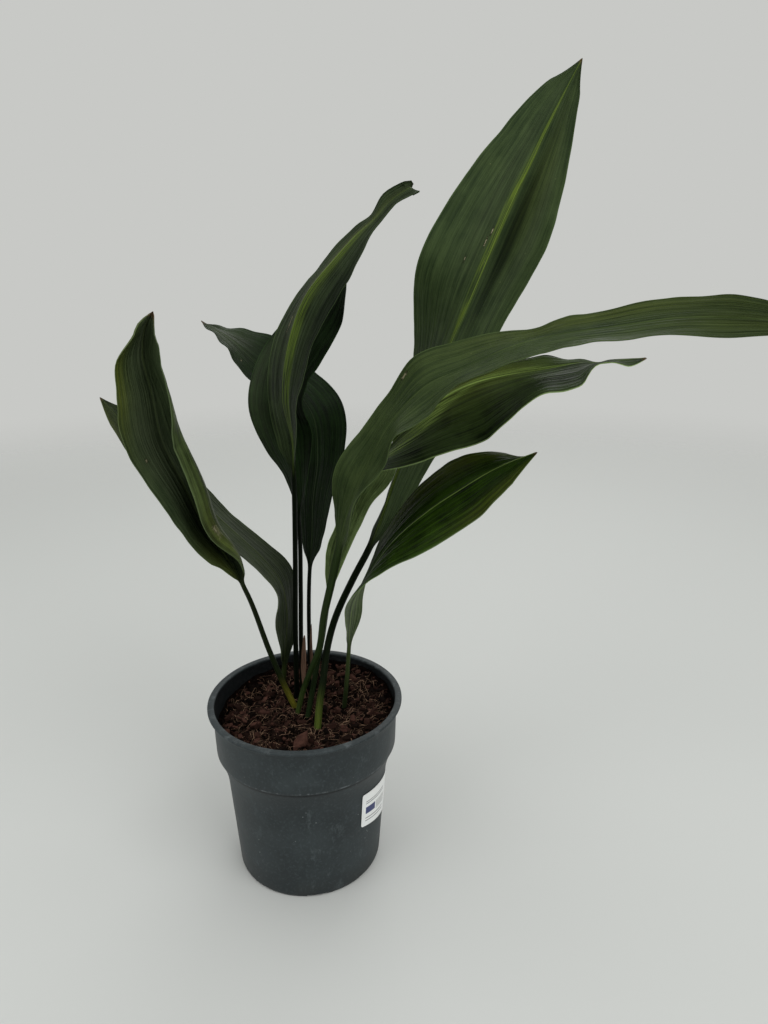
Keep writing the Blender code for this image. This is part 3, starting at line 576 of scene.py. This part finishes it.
def leaf_grid(plant, seed, half_columns):
    """Rings of points up the leaf, the point of the tip, and numbers for the material at each point."""
    knots, points, foot = leaf_path(plant)
    places = leaf_places(knots, foot)
    centre, left, front = leaf_frames(knots, points, places)
    flat = np.clip((places - foot) / BLEND_LENGTH, 0, 1)
    flat = (flat * flat * (3 - 2 * flat))[:, None]
    radius = np.interp(places, [0, foot], plant["thick"])[:, None] * MM
    taper = np.clip((knots[-1] - places) / (60 * MM), 0.35, 1)[:, None]
    columns = np.linspace(-1, 1, 2 * half_columns + 1)
    columns = np.sign(columns) * np.abs(columns) ** 1.15
    front_side, back_side, reaches = [], [], []
    for number, across in enumerate(columns):
        (aside, ahead), (normal_left, normal_front), reach = blade_line(plant, knots, places, across, seed)
        skin = centre + aside[:, None] * left + ahead[:, None] * front
        normal = normal_left[:, None] * left + normal_front[:, None] * front
        half = (EDGE_THICKNESS + (MIDDLE_THICKNESS - EDGE_THICKNESS) * (1 - abs(across))) / 2
        rib = RIB_HEIGHT * taper * exp(-(across * 22) ** 2)
        angle = pi * (number + 0.5) / len(columns)
        sideways = centre + radius * cos(angle) * left
        forward = radius * sin(angle) * front
        front_side.append((1 - flat) * (sideways + forward) + flat * (skin + half * normal))
        back_side.append((1 - flat) * (sideways - forward) + flat * (skin - (half + rib) * normal))
        reaches.append(reach / MM)
    tip = smooth(knots, points, knots[-1:] - 0.2 * TIP_LENGTH)[0]
    facts = leaf_facts(columns, reaches, (places - foot) / MM, foot / MM, (knots[-1] - foot) / MM)
    return np.stack(front_side + back_side[::-1], axis=1), tip, facts


def leaf_facts(columns, reaches, along, stalk, length):
    """Numbers at each point, in millimetres: its place on the leaf, and 1 in front or -1 behind."""
    across = np.concatenate([columns, columns[::-1]])
    along = np.repeat(along[:, None], len(across), axis=1)
    facts = {"across": np.repeat(across[None], len(along), axis=0), "along": along}
    facts["reach"] = np.stack(reaches + reaches[::-1], axis=1)
    facts["up"] = along + stalk - HOLE_DEPTH / MM
    facts["from_tip"] = length - along
    facts["face"] = np.ones_like(along)
    facts["face"][:, len(columns):] = -1
    return facts


def painted(patches, across, along):
    """How strongly soft patches cover each point of a blade."""
    total = np.zeros_like(across)
    for middle, half, place, run, amount in patches:
        total += amount * np.exp(-((across - middle) / half) ** 2 - ((along - place) / run) ** 2)
    return np.clip(total, 0, 1)


def paint(facts, look):
    """Add the numbers of one leaf's look to the numbers of its points."""
    places, halves, amounts, middles = zip(*look["band"])
    facts["band"] = np.interp(facts["along"], places, halves)
    facts["banded"] = np.interp(facts["along"], places, amounts)
    facts["off"] = np.interp(facts["along"], places, middles)
    for kind in ("yellow", "dark", "pale"):
        facts[kind] = painted(look.get(kind, ()), facts["across"], facts["along"])


class LeafTree(Tree):
    """A leaf's nodes, with the readings and noises that its parts share."""

    def __init__(self, name, seed):
        super().__init__(name)
        self.seed = seed
        self.across = self.attribute("across")
        self.along = self.attribute("along")
        self.reach = self.attribute("reach")
        self.streaks = self.drawn(0, 0.0006, 14.0, 2.0)
        self.fine = self.drawn(4, 0.00045, 48.0, 1.0)
        self.mottle = self.noise(self.position(), 45.0, 4.0, 0.6)

    def drawn(self, shift, stretch, scale, detail):
        """Noise drawn out along the leaf."""
        where = self.vector(self.across, self.times(self.along, stretch), self.seed + shift)
        return self.noise(where, scale, detail)


def green_faces(tree, look):
    """Streaked greens, lighter and darker, of the front and the back."""
    share = tree.plus(tree.times(tree.span(tree.streaks, 0.34, 0.68), 0.48),
                      tree.times(tree.span(tree.fine, 0.38, 0.64), 0.4))
    share = tree.math("ADD", share, tree.span(tree.mottle, 0.3, 0.7, -0.1, 0.34), clamp=True)
    front = tree.mix(share, *look["front"])
    back = tree.mix(share, *look["back"])
    tree.colour = tree.mix(tree.span(tree.attribute("face"), -0.3, 0.3), back, front)


def patched(tree):
    """Painted shade, yellow patches and painted sheen, broken up by the streaks."""
    # dark patches: painted shade
    dark = tree.times(tree.attribute("dark"), tree.span(tree.streaks, 0.3, 0.7, 1.0, 0.75))
    tree.over(dark, SHADE_GREEN)
    yellow = tree.times(tree.attribute("yellow"), tree.span(tree.streaks, 0.3, 0.62, 0.45, 1.0))
    tree.over(yellow, YELLOW_GREEN)
    # pale patches: painted sheen
    pale = tree.times(tree.attribute("pale"), tree.span(tree.fine, 0.3, 0.7, 0.7, 1.0))
    tree.over(pale, PAINTED_SHEEN_GREEN)


def striped(tree, look):
    """Bright streaks beside the midrib, the midrib's own line, and a painted highlight along the edge."""
    aside = tree.times(tree.away(tree.across, tree.attribute("off")), tree.reach)
    near = tree.span(tree.math("DIVIDE", aside, tree.attribute("band")), 0.5, 1.5, 1.0, 0.0)
    near = tree.times(near, tree.span(tree.fine, 0.46, 0.56, 0.1, 1.0))
    banded = tree.attribute("banded")
    tree.over(tree.times(near, banded), look["rib"])
    side = tree.math("ABSOLUTE", tree.across)
    line = tree.span(tree.times(side, tree.reach), 0.2, 0.6, 0.8, 0.0)
    tree.over(tree.times(line, banded), tinted(look["rib"], 1.15, 6))
    # painted highlight: a thin light line where the blade's edge catches the light
    edge = tree.span(side, 0.975, 0.995, 0.0, 0.3)
    tree.over(edge, tinted(look["front"][1], 1.5, 14))


def scarred(tree, look):
    """Small dry spots with a pale middle and a dark border."""
    ragged = tree.span(tree.noise(tree.position(), 700.0), 0.3, 0.7, -0.35, 0.35)
    for place, where, width, length, strength in look.get("scars", ()):
        aside = tree.times(tree.away(tree.across, place), tree.reach)
        aside = tree.math("DIVIDE", aside, width / 2)
        ahead = tree.math("DIVIDE", tree.away(tree.along, where), length / 2)
        far = tree.plus(tree.math("MAXIMUM", aside, ahead), ragged)
        tree.over(tree.span(far, 0.9, 1.7, 0.75 * strength, 0.0), SCAR_EDGE)
        tree.over(tree.span(far, 0.4, 0.9, 0.9 * strength, 0.0), SCAR)


def weathered(tree):
    """Tiny pale flecks, and a dry brown tip."""
    fleck = tree.span(tree.cells(tree.position(), 95.0), 0.03, 0.06, 0.6, 0.0)
    tree.over(tree.times(fleck, tree.span(tree.mottle, 0.55, 0.62)), FLECK)
    withered = tree.plus(tree.attribute("from_tip"), tree.span(tree.mottle, 0.3, 0.7, -2.0, 2.0))
    tree.over(tree.span(withered, 1.0, 6.0, 0.85, 0.0), DRY_TIP)


def with_stalk(tree, look):
    """The blade's colour, and below it a ridged stalk that changes colour as it leaves the soil."""
    stalk = tree.mix(tree.span(tree.attribute("up"), 4.0, 42.0), look["foot"], look["top"])
    ridges = tree.span(tree.drawn(6, 0.002, 9.0, 2.0), 0.35, 0.65)
    stalk = tree.mix(tree.times(ridges, 0.45), stalk, tinted(look["top"], 0.6))
    tree.colour = tree.mix(tree.span(tree.along, 0.0, 22.0), stalk, tree.colour)


def leaf_material(name, look, seed):
    """Waxy streaked leaf with fine parallel veins."""
    tree = LeafTree(name, seed)
    green_faces(tree, look)
    patched(tree)
    striped(tree, look)
    scarred(tree, look)
    weathered(tree)
    with_stalk(tree, look)
    rough = tree.span(tree.mottle, 0.3, 0.7, 0.34, 0.46)
    normal = tree.bump(tree.drawn(8, 0.0007, 30.0, 2.0), 0.0012, 0.9)
    normal = tree.bump(tree.noise(tree.position(), 900.0), 0.0001, 0.35, normal)
    return tree.finish(tree.colour, rough, normal, look["shine"])


def sheath_material():
    """Dry brown fibres that run up the sheath."""
    tree = Tree("sheath")
    where = tree.vector(tree.attribute("across"), tree.times(tree.attribute("along"), 0.003))
    fibres = tree.noise(where, 14.0, 3.0)
    colour = tree.mix(tree.span(fibres, 0.3, 0.7), (56, 40, 31), (142, 110, 90))
    return tree.finish(colour, 0.7, tree.bump(fibres, 0.0006), 0.25)


def make_leaf(name, plant, material, seed, slot, half_columns=HALF_COLUMNS, look=None):
    """A leaf or sheath as one closed skin, in the place of its CAD node."""
    rings, tip, facts = leaf_grid(plant, seed, half_columns)
    if look:
        paint(facts, look)
    count = rings.shape[1]
    points = np.concatenate([rings.reshape(-1, 3), tip[None]])
    attributes = {key: np.append(values.ravel(), values[-1, count // 2]) for key, values in facts.items()}
    faces = capped_faces(len(rings), count)
    leaf = new_object(name + "_look", points.tolist(), faces, material, slot, 50, attributes)
    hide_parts(name)


def make_plant():
    """All the leaves, then the two sheaths."""
    for seed, (name, plant) in enumerate(LEAVES.items()):
        look = LOOKS[name]
        make_leaf(name, plant, leaf_material(name, look, float(seed)), seed * 5.3, "leaf", look=look)
    brown = sheath_material()
    for seed, (name, plant) in enumerate(SHEATHS.items()):
        make_leaf(name, plant, brown, 60 + seed, "sheath", SHEATH_HALF_COLUMNS)


# ---- pot ----

def wall_radius(z):
    """Outer radius of the pot's wall at a height, between the foot and the lip."""
    heights = [FOOT_Z] + [h * MM for _, h in reversed(SHOULDER)] + [BAND_FOOT_Z, POT_HEIGHT]
    radii = [FOOT_RADIUS] + [r * MM for r, _ in reversed(SHOULDER)] + [BAND_FOOT_RADIUS, BAND_TOP_RADIUS]
    return float(np.interp(z, heights, radii))


def rounded(middle, radii, degrees):
    """Points round an arc of the pot's section."""
    turns = [radians(angle) for angle in degrees]
    return [(middle[0] + radii[0] * cos(t), middle[1] + radii[1] * sin(t)) for t in turns]


def rim_profile():
    """The rim, from its inner edge over the lip to the wall under it."""
    mouth = BAND_TOP_RADIUS - WALL + MOUTH_ROUND
    rim = rounded((mouth, POT_HEIGHT - MOUTH_ROUND), (MOUTH_ROUND, MOUTH_ROUND), (160, 120, 90))
    rim += rounded((RIM_RADIUS - RIM_ROUND, POT_HEIGHT - RIM_ROUND), (RIM_ROUND, RIM_ROUND), (90, 60, 30, 0))
    under = POT_HEIGHT - LIP_THICKNESS
    rim += [(RIM_RADIUS, under + 0.4 * MM), (RIM_RADIUS - 0.4 * MM, under)]
    return rim + [(BAND_TOP_RADIUS + 0.6 * MM, under - 0.1 * MM), (BAND_TOP_RADIUS, under - 0.8 * MM)]


def pot_profile():
    """Half section of the pot, from the middle of its floor, over the rim, to the middle of its base."""
    corner = FOOT_RADIUS - WALL
    inside = [(0, FLOOR_Z), (corner - 1.5 * MM, FLOOR_Z), (corner, FLOOR_Z + 1.5 * MM)]
    inside += [(r * MM - WALL, h * MM) for r, h in reversed(SHOULDER)]
    inside += [(BAND_FOOT_RADIUS - WALL, BAND_FOOT_Z), (BAND_TOP_RADIUS - WALL, POT_HEIGHT - MOUTH_ROUND)]
    band = [(BAND_FOOT_RADIUS + BAND_SLOPE * (z - BAND_FOOT_Z), z)
            for z in np.linspace(POT_HEIGHT - 12 * MM, SEAM_Z, 5)]
    step = [(BAND_FOOT_RADIUS - 0.05 * MM, SEAM_Z - 0.5 * MM),
            (BAND_FOOT_RADIUS - 0.12 * MM, BAND_FOOT_Z - 1 * MM)]
    body = [(r * MM, h * MM) for r, h in SHOULDER]
    wall = [(wall_radius(z), z) for z in np.linspace(78 * MM, 12 * MM, 6)]
    foot = rounded((FOOT_RADIUS - FOOT_EDGE, FOOT_Z), (FOOT_EDGE, -FOOT_Z), (0, 25, 50, 75, 90))
    inner, outer, height = BASE_GROOVE
    base = [(outer + 0.7 * MM, 0), (outer, height), (inner, height), (BASE_DISC_RADIUS, 0), (0, 0)]
    return inside + rim_profile() + band + step + body + wall + foot + base


def cut_out(item, shape):
    """Cut a shape out of a piece and drop the shape."""
    mesh = bpy.data.meshes.new("cutter")
    shape.to_mesh(mesh)
    shape.free()
    tool = bpy.data.objects.new("cutter", mesh)
    bpy.context.scene.collection.objects.link(tool)
    change = item.modifiers.new("cut", "BOOLEAN")
    change.operation = "DIFFERENCE"
    change.object = tool
    graph = bpy.context.evaluated_depsgraph_get()
    cut = bpy.data.meshes.new_from_object(item.evaluated_get(graph))
    item.modifiers.remove(change)
    item.data = cut
    bpy.data.objects.remove(tool, do_unlink=True)


def scuffed(tree, place, z):
    """Scuffs and flecks, and light wear on the seam and the lip."""
    stretch = tree.add("ShaderNodeMapping", (place,))
    stretch.inputs["Scale"].default_value = (1.0, 1.0, 0.45)
    drag = tree.noise(stretch.outputs[0], 110.0, 6.0, 0.75)
    scuff = tree.times(tree.span(drag, 0.54, 0.7), tree.span(tree.noise(place, 38.0, 3.0), 0.46, 0.6))
    tree.over(tree.times(scuff, 0.3), (112, 122, 124))
    fleck = tree.span(tree.cells(place, 190.0), 0.03, 0.14, 1.0, 0.0)
    fleck = tree.times(fleck, tree.span(tree.noise(place, 60.0), 0.57, 0.66))
    tree.over(tree.times(fleck, 0.55), (160, 168, 168))
    ring = tree.span(tree.away(z, BAND_FOOT_Z - 1.2 * MM), 0.3 * MM, 1.1 * MM, 1.0, 0.0)
    ring = tree.times(ring, tree.span(drag, 0.5, 0.6))
    tree.over(tree.times(ring, 0.5), (118, 124, 128))
    lip = tree.times(tree.span(z, POT_HEIGHT - 3 * MM, POT_HEIGHT - 1 * MM), tree.span(drag, 0.5, 0.64))
    tree.over(tree.times(lip, 0.17), (128, 134, 136))
    return scuff


def inner_wall_shade(tree, x, y, z):
    """Where the painted shade goes: 1 on the inner side of the pot's band, 0 outside and at the rim."""
    wall = tree.plus(tree.times(z, BAND_SLOPE), BAND_FOOT_RADIUS - BAND_SLOPE * BAND_FOOT_Z)
    inner = tree.math("SUBTRACT", tree.length(tree.vector(x, y)), wall)
    inner = tree.span(inner, -1.1 * MM, -0.7 * MM, 1.0, 0.0)
    inner = tree.times(inner, tree.span(z, POT_HEIGHT - 2.5 * MM, POT_HEIGHT - 0.6 * MM, 1.0, 0.0))
    return tree.times(inner, tree.span(z, 108 * MM, 112 * MM))


def pot_material():
    """Dark blue-grey recycled plastic: cloudy, scuffed and a little dusty; painted shade makes it nearly
    black inside.
    """
    tree = Tree("pot")
    place = tree.position()
    x, y, z = tree.add("ShaderNodeSeparateXYZ", (place,)).outputs
    cloud = tree.noise(place, 26.0, 4.0, 0.6)
    fine = tree.noise(place, 420.0, 3.0, 0.6)
    tree.colour = tree.mix(tree.span(cloud, 0.3, 0.7), (41, 47, 49), (53, 60, 62))
    tree.over(tree.span(fine, 0.5, 0.75, 0.0, 0.25), (84, 94, 97))
    scuff = scuffed(tree, place, z)
    dirt = tree.times(tree.span(z, 2 * MM, 26 * MM, 1.0, 0.0), tree.span(cloud, 0.35, 0.6))
    tree.over(tree.times(dirt, 0.4), (40, 39, 36))
    # painted shade: the inner wall darkened where the soil and leaves keep the light off it
    shadow = tree.mix(tree.span(fine, 0.4, 0.7), (15, 18, 20), (30, 33, 34))
    tree.over(inner_wall_shade(tree, x, y, z), shadow)
    rough = tree.plus(tree.span(cloud, 0.3, 0.7, 0.42, 0.54), tree.times(scuff, 0.2))
    normal = tree.bump(cloud, 0.0012, 0.25, tree.bump(fine, 0.0001, 0.5))
    return tree.finish(tree.colour, rough, normal, 0.22)


def turned_pot():
    """The pot's skin, before its holes and notches are cut."""
    profile = pot_profile()
    points = [(x, y, z) for radius, z in profile[1:-1] for x, y in circle(radius, POT_STEPS)]
    points += [(0, 0, FLOOR_Z), (0, 0, 0)]
    rings = len(profile) - 2
    faces = loft_faces(rings, POT_STEPS)
    last = (rings - 1) * POT_STEPS
    sides = [(here, (here + 1) % POT_STEPS) for here in range(POT_STEPS)]
    faces += [[after, here, len(points) - 2] for here, after in sides]
    faces += [[last + here, last + after, len(points) - 1] for here, after in sides]
    faces = [face[::-1] for face in faces]
    return new_object("pot_look", points, faces, pot_material(), None)


def make_pot():
    """The turned pot, with its drain holes and foot notches cut."""
    pot = turned_pot()
    inner, outer, _ = BASE_GROOVE
    middle = (inner + outer) / 2
    for x, y in circle(middle, DRAIN_HOLES):
        shape = bmesh.new()
        bmesh.ops.create_cone(shape, cap_ends=True, segments=32, radius1=DRAIN_RADIUS, radius2=DRAIN_RADIUS,
                              depth=4 * FLOOR_Z, matrix=Matrix.Translation((x, y, FLOOR_Z / 2)))
        cut_out(pot, shape)
    low, high = outer - 2 * MM, FOOT_RADIUS + 2 * MM
    size = Matrix.Diagonal((high - low, NOTCH_WIDTH, 2 * NOTCH_HEIGHT, 1))
    for number in range(NOTCHES):
        angle = radians(NOTCH_FIRST_ANGLE) + tau * number / NOTCHES
        place = Matrix.Rotation(angle, 4, "Z") @ Matrix.Translation(((low + high) / 2, 0, 0))
        shape = bmesh.new()
        bmesh.ops.create_cube(shape, size=1, matrix=place @ size)
        cut_out(pot, shape)
    pot.data.set_sharp_from_angle(angle=radians(40))
    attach(pot, "root")
    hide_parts("pot")


# ---- label ----

def label_material():
    """White coated paper with a plain blue block and grey bars, and no lettering."""
    tree = Tree("label")
    u = tree.attribute("label_u")
    v = tree.attribute("label_v")

    def block(left, right, low, high):
        inside = tree.times(tree.span(u, left, left + 0.01), tree.span(u, right - 0.01, right, 1.0, 0.0))
        rows = tree.times(tree.span(v, low, low + 0.02), tree.span(v, high - 0.02, high, 1.0, 0.0))
        return tree.times(inside, rows)

    tree.colour = tree.mix(tree.noise(tree.position(), 300.0), (236, 238, 238), (246, 247, 246))
    tree.over(block(0.1, 0.42, 0.36, 0.58), (38, 48, 104))
    for low in (0.14, 0.22, 0.66, 0.72):
        tree.over(block(0.1, 0.8, low, low + 0.04), (60, 62, 70))
    for number in range(8):
        left = 0.46 + 0.05 * number
        tree.over(block(left, left + 0.025, 0.32, 0.58), (30, 32, 36))
    return tree.finish(tree.colour, 0.4)


def label_point(u, v, out):
    """A point of the sticker: u to the right and v upwards, each 0 to 1, and how far out it stands."""
    width = radians(LABEL_TO_ANGLE - LABEL_FROM_ANGLE)
    from_end = min(u, 1 - u) * width * wall_radius(LABEL_LOW_Z)
    inset = LABEL_CORNER - sqrt(LABEL_CORNER ** 2 - max(0, LABEL_CORNER - from_end) ** 2)
    low = LABEL_LOW_Z - LABEL_LOW_FALL * u + inset
    high = LABEL_HIGH_Z - LABEL_HIGH_FALL * u - inset
    z = low + v * (high - low)
    radius = wall_radius(z) + LABEL_GAP + out
    angle = radians(LABEL_FROM_ANGLE) + u * width
    return radius * cos(angle), radius * sin(angle), z


def make_label():
    """A thin curved sticker with round corners, a gap clear of the wall."""
    around = [(n / LABEL_COLUMNS, LABEL_THICKNESS) for n in range(LABEL_COLUMNS + 1)]
    around += [(u, 0) for u, _ in around[::-1]]
    spots = [(u, row / LABEL_ROWS, out) for row in range(LABEL_ROWS + 1) for u, out in around]
    count = len(around)
    faces = loft_faces(LABEL_ROWS + 1, count)
    for n in range(LABEL_COLUMNS):
        low = [n, n + 1, count - 2 - n, count - 1 - n]
        faces += [low[::-1], [LABEL_ROWS * count + corner for corner in low]]
    places = {"label_u": [u for u, _, _ in spots], "label_v": [v for _, v, _ in spots]}
    points = [label_point(*spot) for spot in spots]
    label = new_object("pot_label_look", points, faces, label_material(), "label", 40, places)
    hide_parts("pot_label")


# ---- soil ----

def soil_height(x, y):
    """Lumpy top of the soil: a hollow round the stalks, heaped up against the wall at the back right."""
    share = hypot(x, y) / wall_radius(SOIL_EDGE_Z)
    heap = cos(atan2(y, x) - radians(SOIL_HIGH_ANGLE))
    crown = SOIL_Z + (SOIL_RISE + SOIL_TILT * heap) * share ** 3
    sizes = ((16 * MM, 0), (6 * MM, 5), (2 * MM, 9))
    lump, crumb, grain = (noise.noise(Vector((x / size, y / size, seed))) for size, seed in sizes)
    return crown + SOIL_LUMP * (lump + 0.4 * crumb) + 0.5 * MM * grain


def soil_material():
    """Damp crumbs, nearly black both by their own colour and as painted shade in the gaps between the bark.
    """
    tree = Tree("soil")
    place = tree.position()
    grain = tree.noise(place, 260.0, 5.0, 0.7)
    patch = tree.noise(place, 60.0, 3.0, 0.6)
    # nearly black: the damp soil's own dark, and painted shade where it shows between the bark
    tree.colour = tree.mix(tree.span(grain, 0.35, 0.7), (4, 3, 3), (20, 13, 10))
    tree.over(tree.times(tree.span(patch, 0.45, 0.65), 0.5), (16, 9, 8))
    return tree.finish(tree.colour, 0.95, tree.bump(grain, 0.0012, 0.9), 0.0)


def bit_material(name, dark, light, scale):
    """Bark or fibre that is darker or lighter from one bit to the next."""
    tree = Tree(name)
    grain = tree.noise(tree.position(), scale, 4.0, 0.65)
    tone = tree.attribute("tone")
    share = tree.math("MULTIPLY", tone, tree.span(grain, 0.3, 0.7, 0.5, 1.15), clamp=True)
    return tree.finish(tree.mix(share, dark, light), 0.9, tree.bump(grain, 0.0006, 0.8), 0.03)


def make_bed(edge, inset):
    """The soil itself: a fine lumpy top on a plain side that follows the pot's wall."""
    points = []
    for z in [FLOOR_Z + SOIL_GAP] + SOIL_SIDE_Z:
        points += [(x, y, z) for x, y in circle(min(wall_radius(z) - inset, edge), SOIL_STEPS)]
    for ring in range(SOIL_RINGS):
        places = circle(edge * (1 - ring / SOIL_RINGS), SOIL_STEPS)
        points += [(x, y, soil_height(x, y)) for x, y in places]
    points.append((0, 0, soil_height(0, 0)))
    count = 1 + len(SOIL_SIDE_Z) + SOIL_RINGS
    bed = new_object("soil_bed", points, capped_faces(count, SOIL_STEPS), soil_material(), "soil", 60)
    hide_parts("soil")


def make_soil():
    """The bed, then bark flakes and coco fibres lying on it."""
    inset = WALL + SOIL_GAP
    edge = wall_radius(SOIL_EDGE_Z) - inset
    make_bed(edge, inset)
    make_bark(edge)
    make_fibres(edge)


def clear_of_stalks(x, y, room):
    """Whether a place is further than this from every stalk."""
    stalks = [plant["stalk"][0] for plant in [*LEAVES.values(), *SHEATHS.values()]]
    return min(hypot(x - a * MM, y - b * MM) for a, b, _ in stalks) > room


def random_place(rng, reach):
    """A place on the soil within a reach of its middle."""
    away = sqrt(rng.random()) * reach
    angle = rng.uniform(0, tau)
    return away * cos(angle), away * sin(angle)


def add_bit(shape, spots, count, tone, step=1):
    """Add a closed tube of rings with this count of points; a step of -1 turns its faces over."""
    points, faces, tones = shape
    start, rings = len(points), len(spots) // count
    ends = [list(range(count))[::-1], list(range(len(spots) - count, len(spots)))]
    faces += [[start + corner for corner in face[::step]] for face in loft_faces(rings, count) + ends]
    points += spots
    tones += [tone] * len(spots)


def add_flake(rng, shape, place, size, tone):
    """A rough little block with broken corners, as three rings of points."""
    place = place @ Matrix.Rotation(rng.uniform(0, tau), 4, "Z")
    place = place @ Matrix.Rotation(rng.gauss(0, 0.35), 4, "X") @ Matrix.Rotation(rng.gauss(0, 0.25), 4, "Y")
    spots = []
    corners = rng.choice((5, 6, 7))
    turns = sorted(rng.uniform(0.75, 1.2) + n for n in range(corners))
    radii = [rng.uniform(0.7, 1.05) for _ in range(corners)]
    for level, narrow in ((-0.5, 0.9), (0.15, 1.0), (0.5, 0.82)):
        for turn, radius in zip(turns, radii):
            angle = turn / corners * tau
            reach = radius * narrow * rng.uniform(0.93, 1.07) / 2
            height = level + rng.uniform(-0.12, 0.12)
            spot = (size[0] * reach * cos(angle), size[1] * reach * sin(angle), size[2] * height)
            spots.append(tuple(place @ Vector(spot)))
    add_bit(shape, spots, corners, tone)


def make_bark(edge):
    """One big chip in front, then flakes and crumbs of many sizes."""
    rng = random.Random(21)
    shape = ([], [], [])
    x, y = -1 * MM, -38 * MM
    chip = Matrix.Translation((x, y, soil_height(x, y) + 2.6 * MM))
    add_flake(rng, shape, chip, (24 * MM, 16 * MM, 4.5 * MM), 0.85)
    while len(shape[0]) < BARK_POINTS:
        length = rng.choice([rng.uniform(*span) for span in BARK_LENGTHS]) * MM
        x, y = random_place(rng, edge - 0.6 * length)
        if clear_of_stalks(x, y, length / 2 + STALK_ROOM):
            size = (length, length * rng.uniform(0.3, 0.7), max(0.7 * MM, length * rng.uniform(0.15, 0.35)))
            lift = rng.uniform(-0.3, 0.8) * size[2]
            place = Matrix.Translation((x, y, soil_height(x, y) + lift))
            add_flake(rng, shape, place, size, rng.random() ** 2.2)
    points, faces, tones = shape
    bark = bit_material("bark", (13, 8, 6), (82, 56, 48), 220.0)
    new_object("soil_bark", points, faces, bark, "soil", 30, {"tone": tones})


def fibre_path(rng, edge):
    """Points along one curly fibre that arches over the bark, and its radius."""
    x, y = random_place(rng, edge - 3 * MM)
    heading = rng.uniform(0, tau)
    curve = rng.gauss(0, 0.12)
    step = rng.uniform(3, 15) * MM / FIBRE_STEPS
    radius = rng.uniform(0.06, 0.17) * MM
    high = rng.uniform(0.2, 2.4) * MM
    lean = rng.uniform(-0.5, 0.8) * MM
    path = []
    for n in range(FIBRE_STEPS + 1):
        share = n / FIBRE_STEPS
        z = soil_height(x, y) + 0.6 * MM + high * sin(pi * share) + lean * share
        path.append(Vector((x, y, z)))
        heading += curve + rng.gauss(0, 0.16)
        x += step * cos(heading)
        y += step * sin(heading)
    return path, radius


def add_fibre(shape, path, radius, tone):
    """A thin four-sided tube along a path, narrower at its ends."""
    spots = []
    last = len(path) - 1
    for n, p in enumerate(path):
        run = (path[min(n + 1, last)] - path[max(n - 1, 0)]).normalized()
        side = run.cross(Vector((0, 0, 1))).normalized()
        up = side.cross(run)
        thin = radius * (0.35 + 0.65 * sin(pi * (0.08 + 0.84 * n / last)))
        spots += [tuple(p + across * side + above * up) for across, above in circle(thin, FIBRE_SIDES)]
    add_bit(shape, spots, FIBRE_SIDES, tone, -1)


def make_fibres(edge):
    """Thin curly coco fibres that lie on the bark, inside the wall and clear of the stalks."""
    rng = random.Random(5)
    shape = ([], [], [])
    made = 0
    while made < FIBRES:
        path, radius = fibre_path(rng, edge)
        if max(hypot(p.x, p.y) for p in path) > edge - 1 * MM:
            continue
        if all(clear_of_stalks(p.x, p.y, STALK_ROOM + 0.1 * MM) for p in path):
            add_fibre(shape, path, radius, rng.random() ** 2.6)
            made += 1
    points, faces, tones = shape
    fibre = bit_material("fibre", (18, 10, 8), (186, 152, 126), 300.0)
    new_object("soil_fibres", points, faces, fibre, "soil", 80, {"tone": tones})


# ---- studio ----

# Lights, as (name, place, the place they point to, size, watts).
LIGHTS = [
    ("key", (0.9, -1.0, 1.7), (0, 0, 0.3), (1.2, 1.2), 13),
    ("fill", (-1.1, -0.9, 1.5), (0, 0, 0.3), (1.2, 1.2), 7),
    ("top", (0, 0.3, 2.0), (0, 0, 0.2), (1.6, 1.0), 4),
    ("back", (0.4, 1.5, 1.4), (0, 0, 0.3), (1.2, 0.9), 5),
]
CAMERA_PLACE = (0.0696, -0.5993, 0.5166)
CAMERA_DOWN = 14.85                     # degrees below level
CAMERA_ROLL = -0.44                     # degrees
SENSOR = 36.0                           # height of the picture on the sensor, in millimetres
LENS = 26.72
SHIFT = (0.00146, -0.0376)              # shares of the picture's height


def make_floor():
    """A pale floor that fades into the background away from the pot."""
    tree = Tree("studio_floor")
    tree.finish((204, 206, 204), 0.6, None, 0.15)
    tree.put(tree.shader.inputs["Alpha"], tree.span(tree.length(tree.position()), 0.9, 2.6, 1.0, 0.0))
    side = 3.0
    points = [(-side, -side, 0), (side, -side, 0), (side, side, 0), (-side, side, 0)]
    floor = new_object("studio_floor", points, [[0, 1, 2, 3]], tree.material, None)


def make_world():
    """An even pale grey light from all round."""
    world = bpy.data.worlds.new("studio")
    world.use_nodes = True
    sky = world.node_tree.nodes["Background"]
    sky.inputs["Color"].default_value = linear((200, 201, 198))
    sky.inputs["Strength"].default_value = 1.0
    bpy.context.scene.world = world


def area_light(name, place, target, size, power):
    """A soft rectangular light that points to a place."""
    lamp = bpy.data.lights.new(name, "AREA")
    lamp.shape = "RECTANGLE"
    lamp.size, lamp.size_y = size
    lamp.energy = power
    item = bpy.data.objects.new(name, lamp)
    item.location = place
    item.rotation_euler = (Vector(target) - Vector(place)).to_track_quat("-Z", "Y").to_euler()
    bpy.context.scene.collection.objects.link(item)


def make_camera():
    """A camera in front of the pot and above it, looking along +Y and down."""
    camera = bpy.data.cameras.new("camera")
    camera.sensor_fit = "VERTICAL"
    camera.sensor_height = SENSOR
    camera.lens = LENS
    camera.shift_x, camera.shift_y = SHIFT
    camera.clip_start = 0.01
    item = bpy.data.objects.new("camera", camera)
    tilt = Matrix.Rotation(radians(90 - CAMERA_DOWN), 4, "X")
    roll = Matrix.Rotation(radians(CAMERA_ROLL), 4, "Z")
    item.matrix_world = Matrix.Translation(CAMERA_PLACE) @ tilt @ roll
    bpy.context.scene.collection.objects.link(item)
    bpy.context.scene.camera = item


make_pot()
make_label()
make_soil()
make_plant()
make_floor()
make_world()
for light in LIGHTS:
    area_light(*light)
make_camera()
bpy.context.scene.view_settings.view_transform = "Standard"
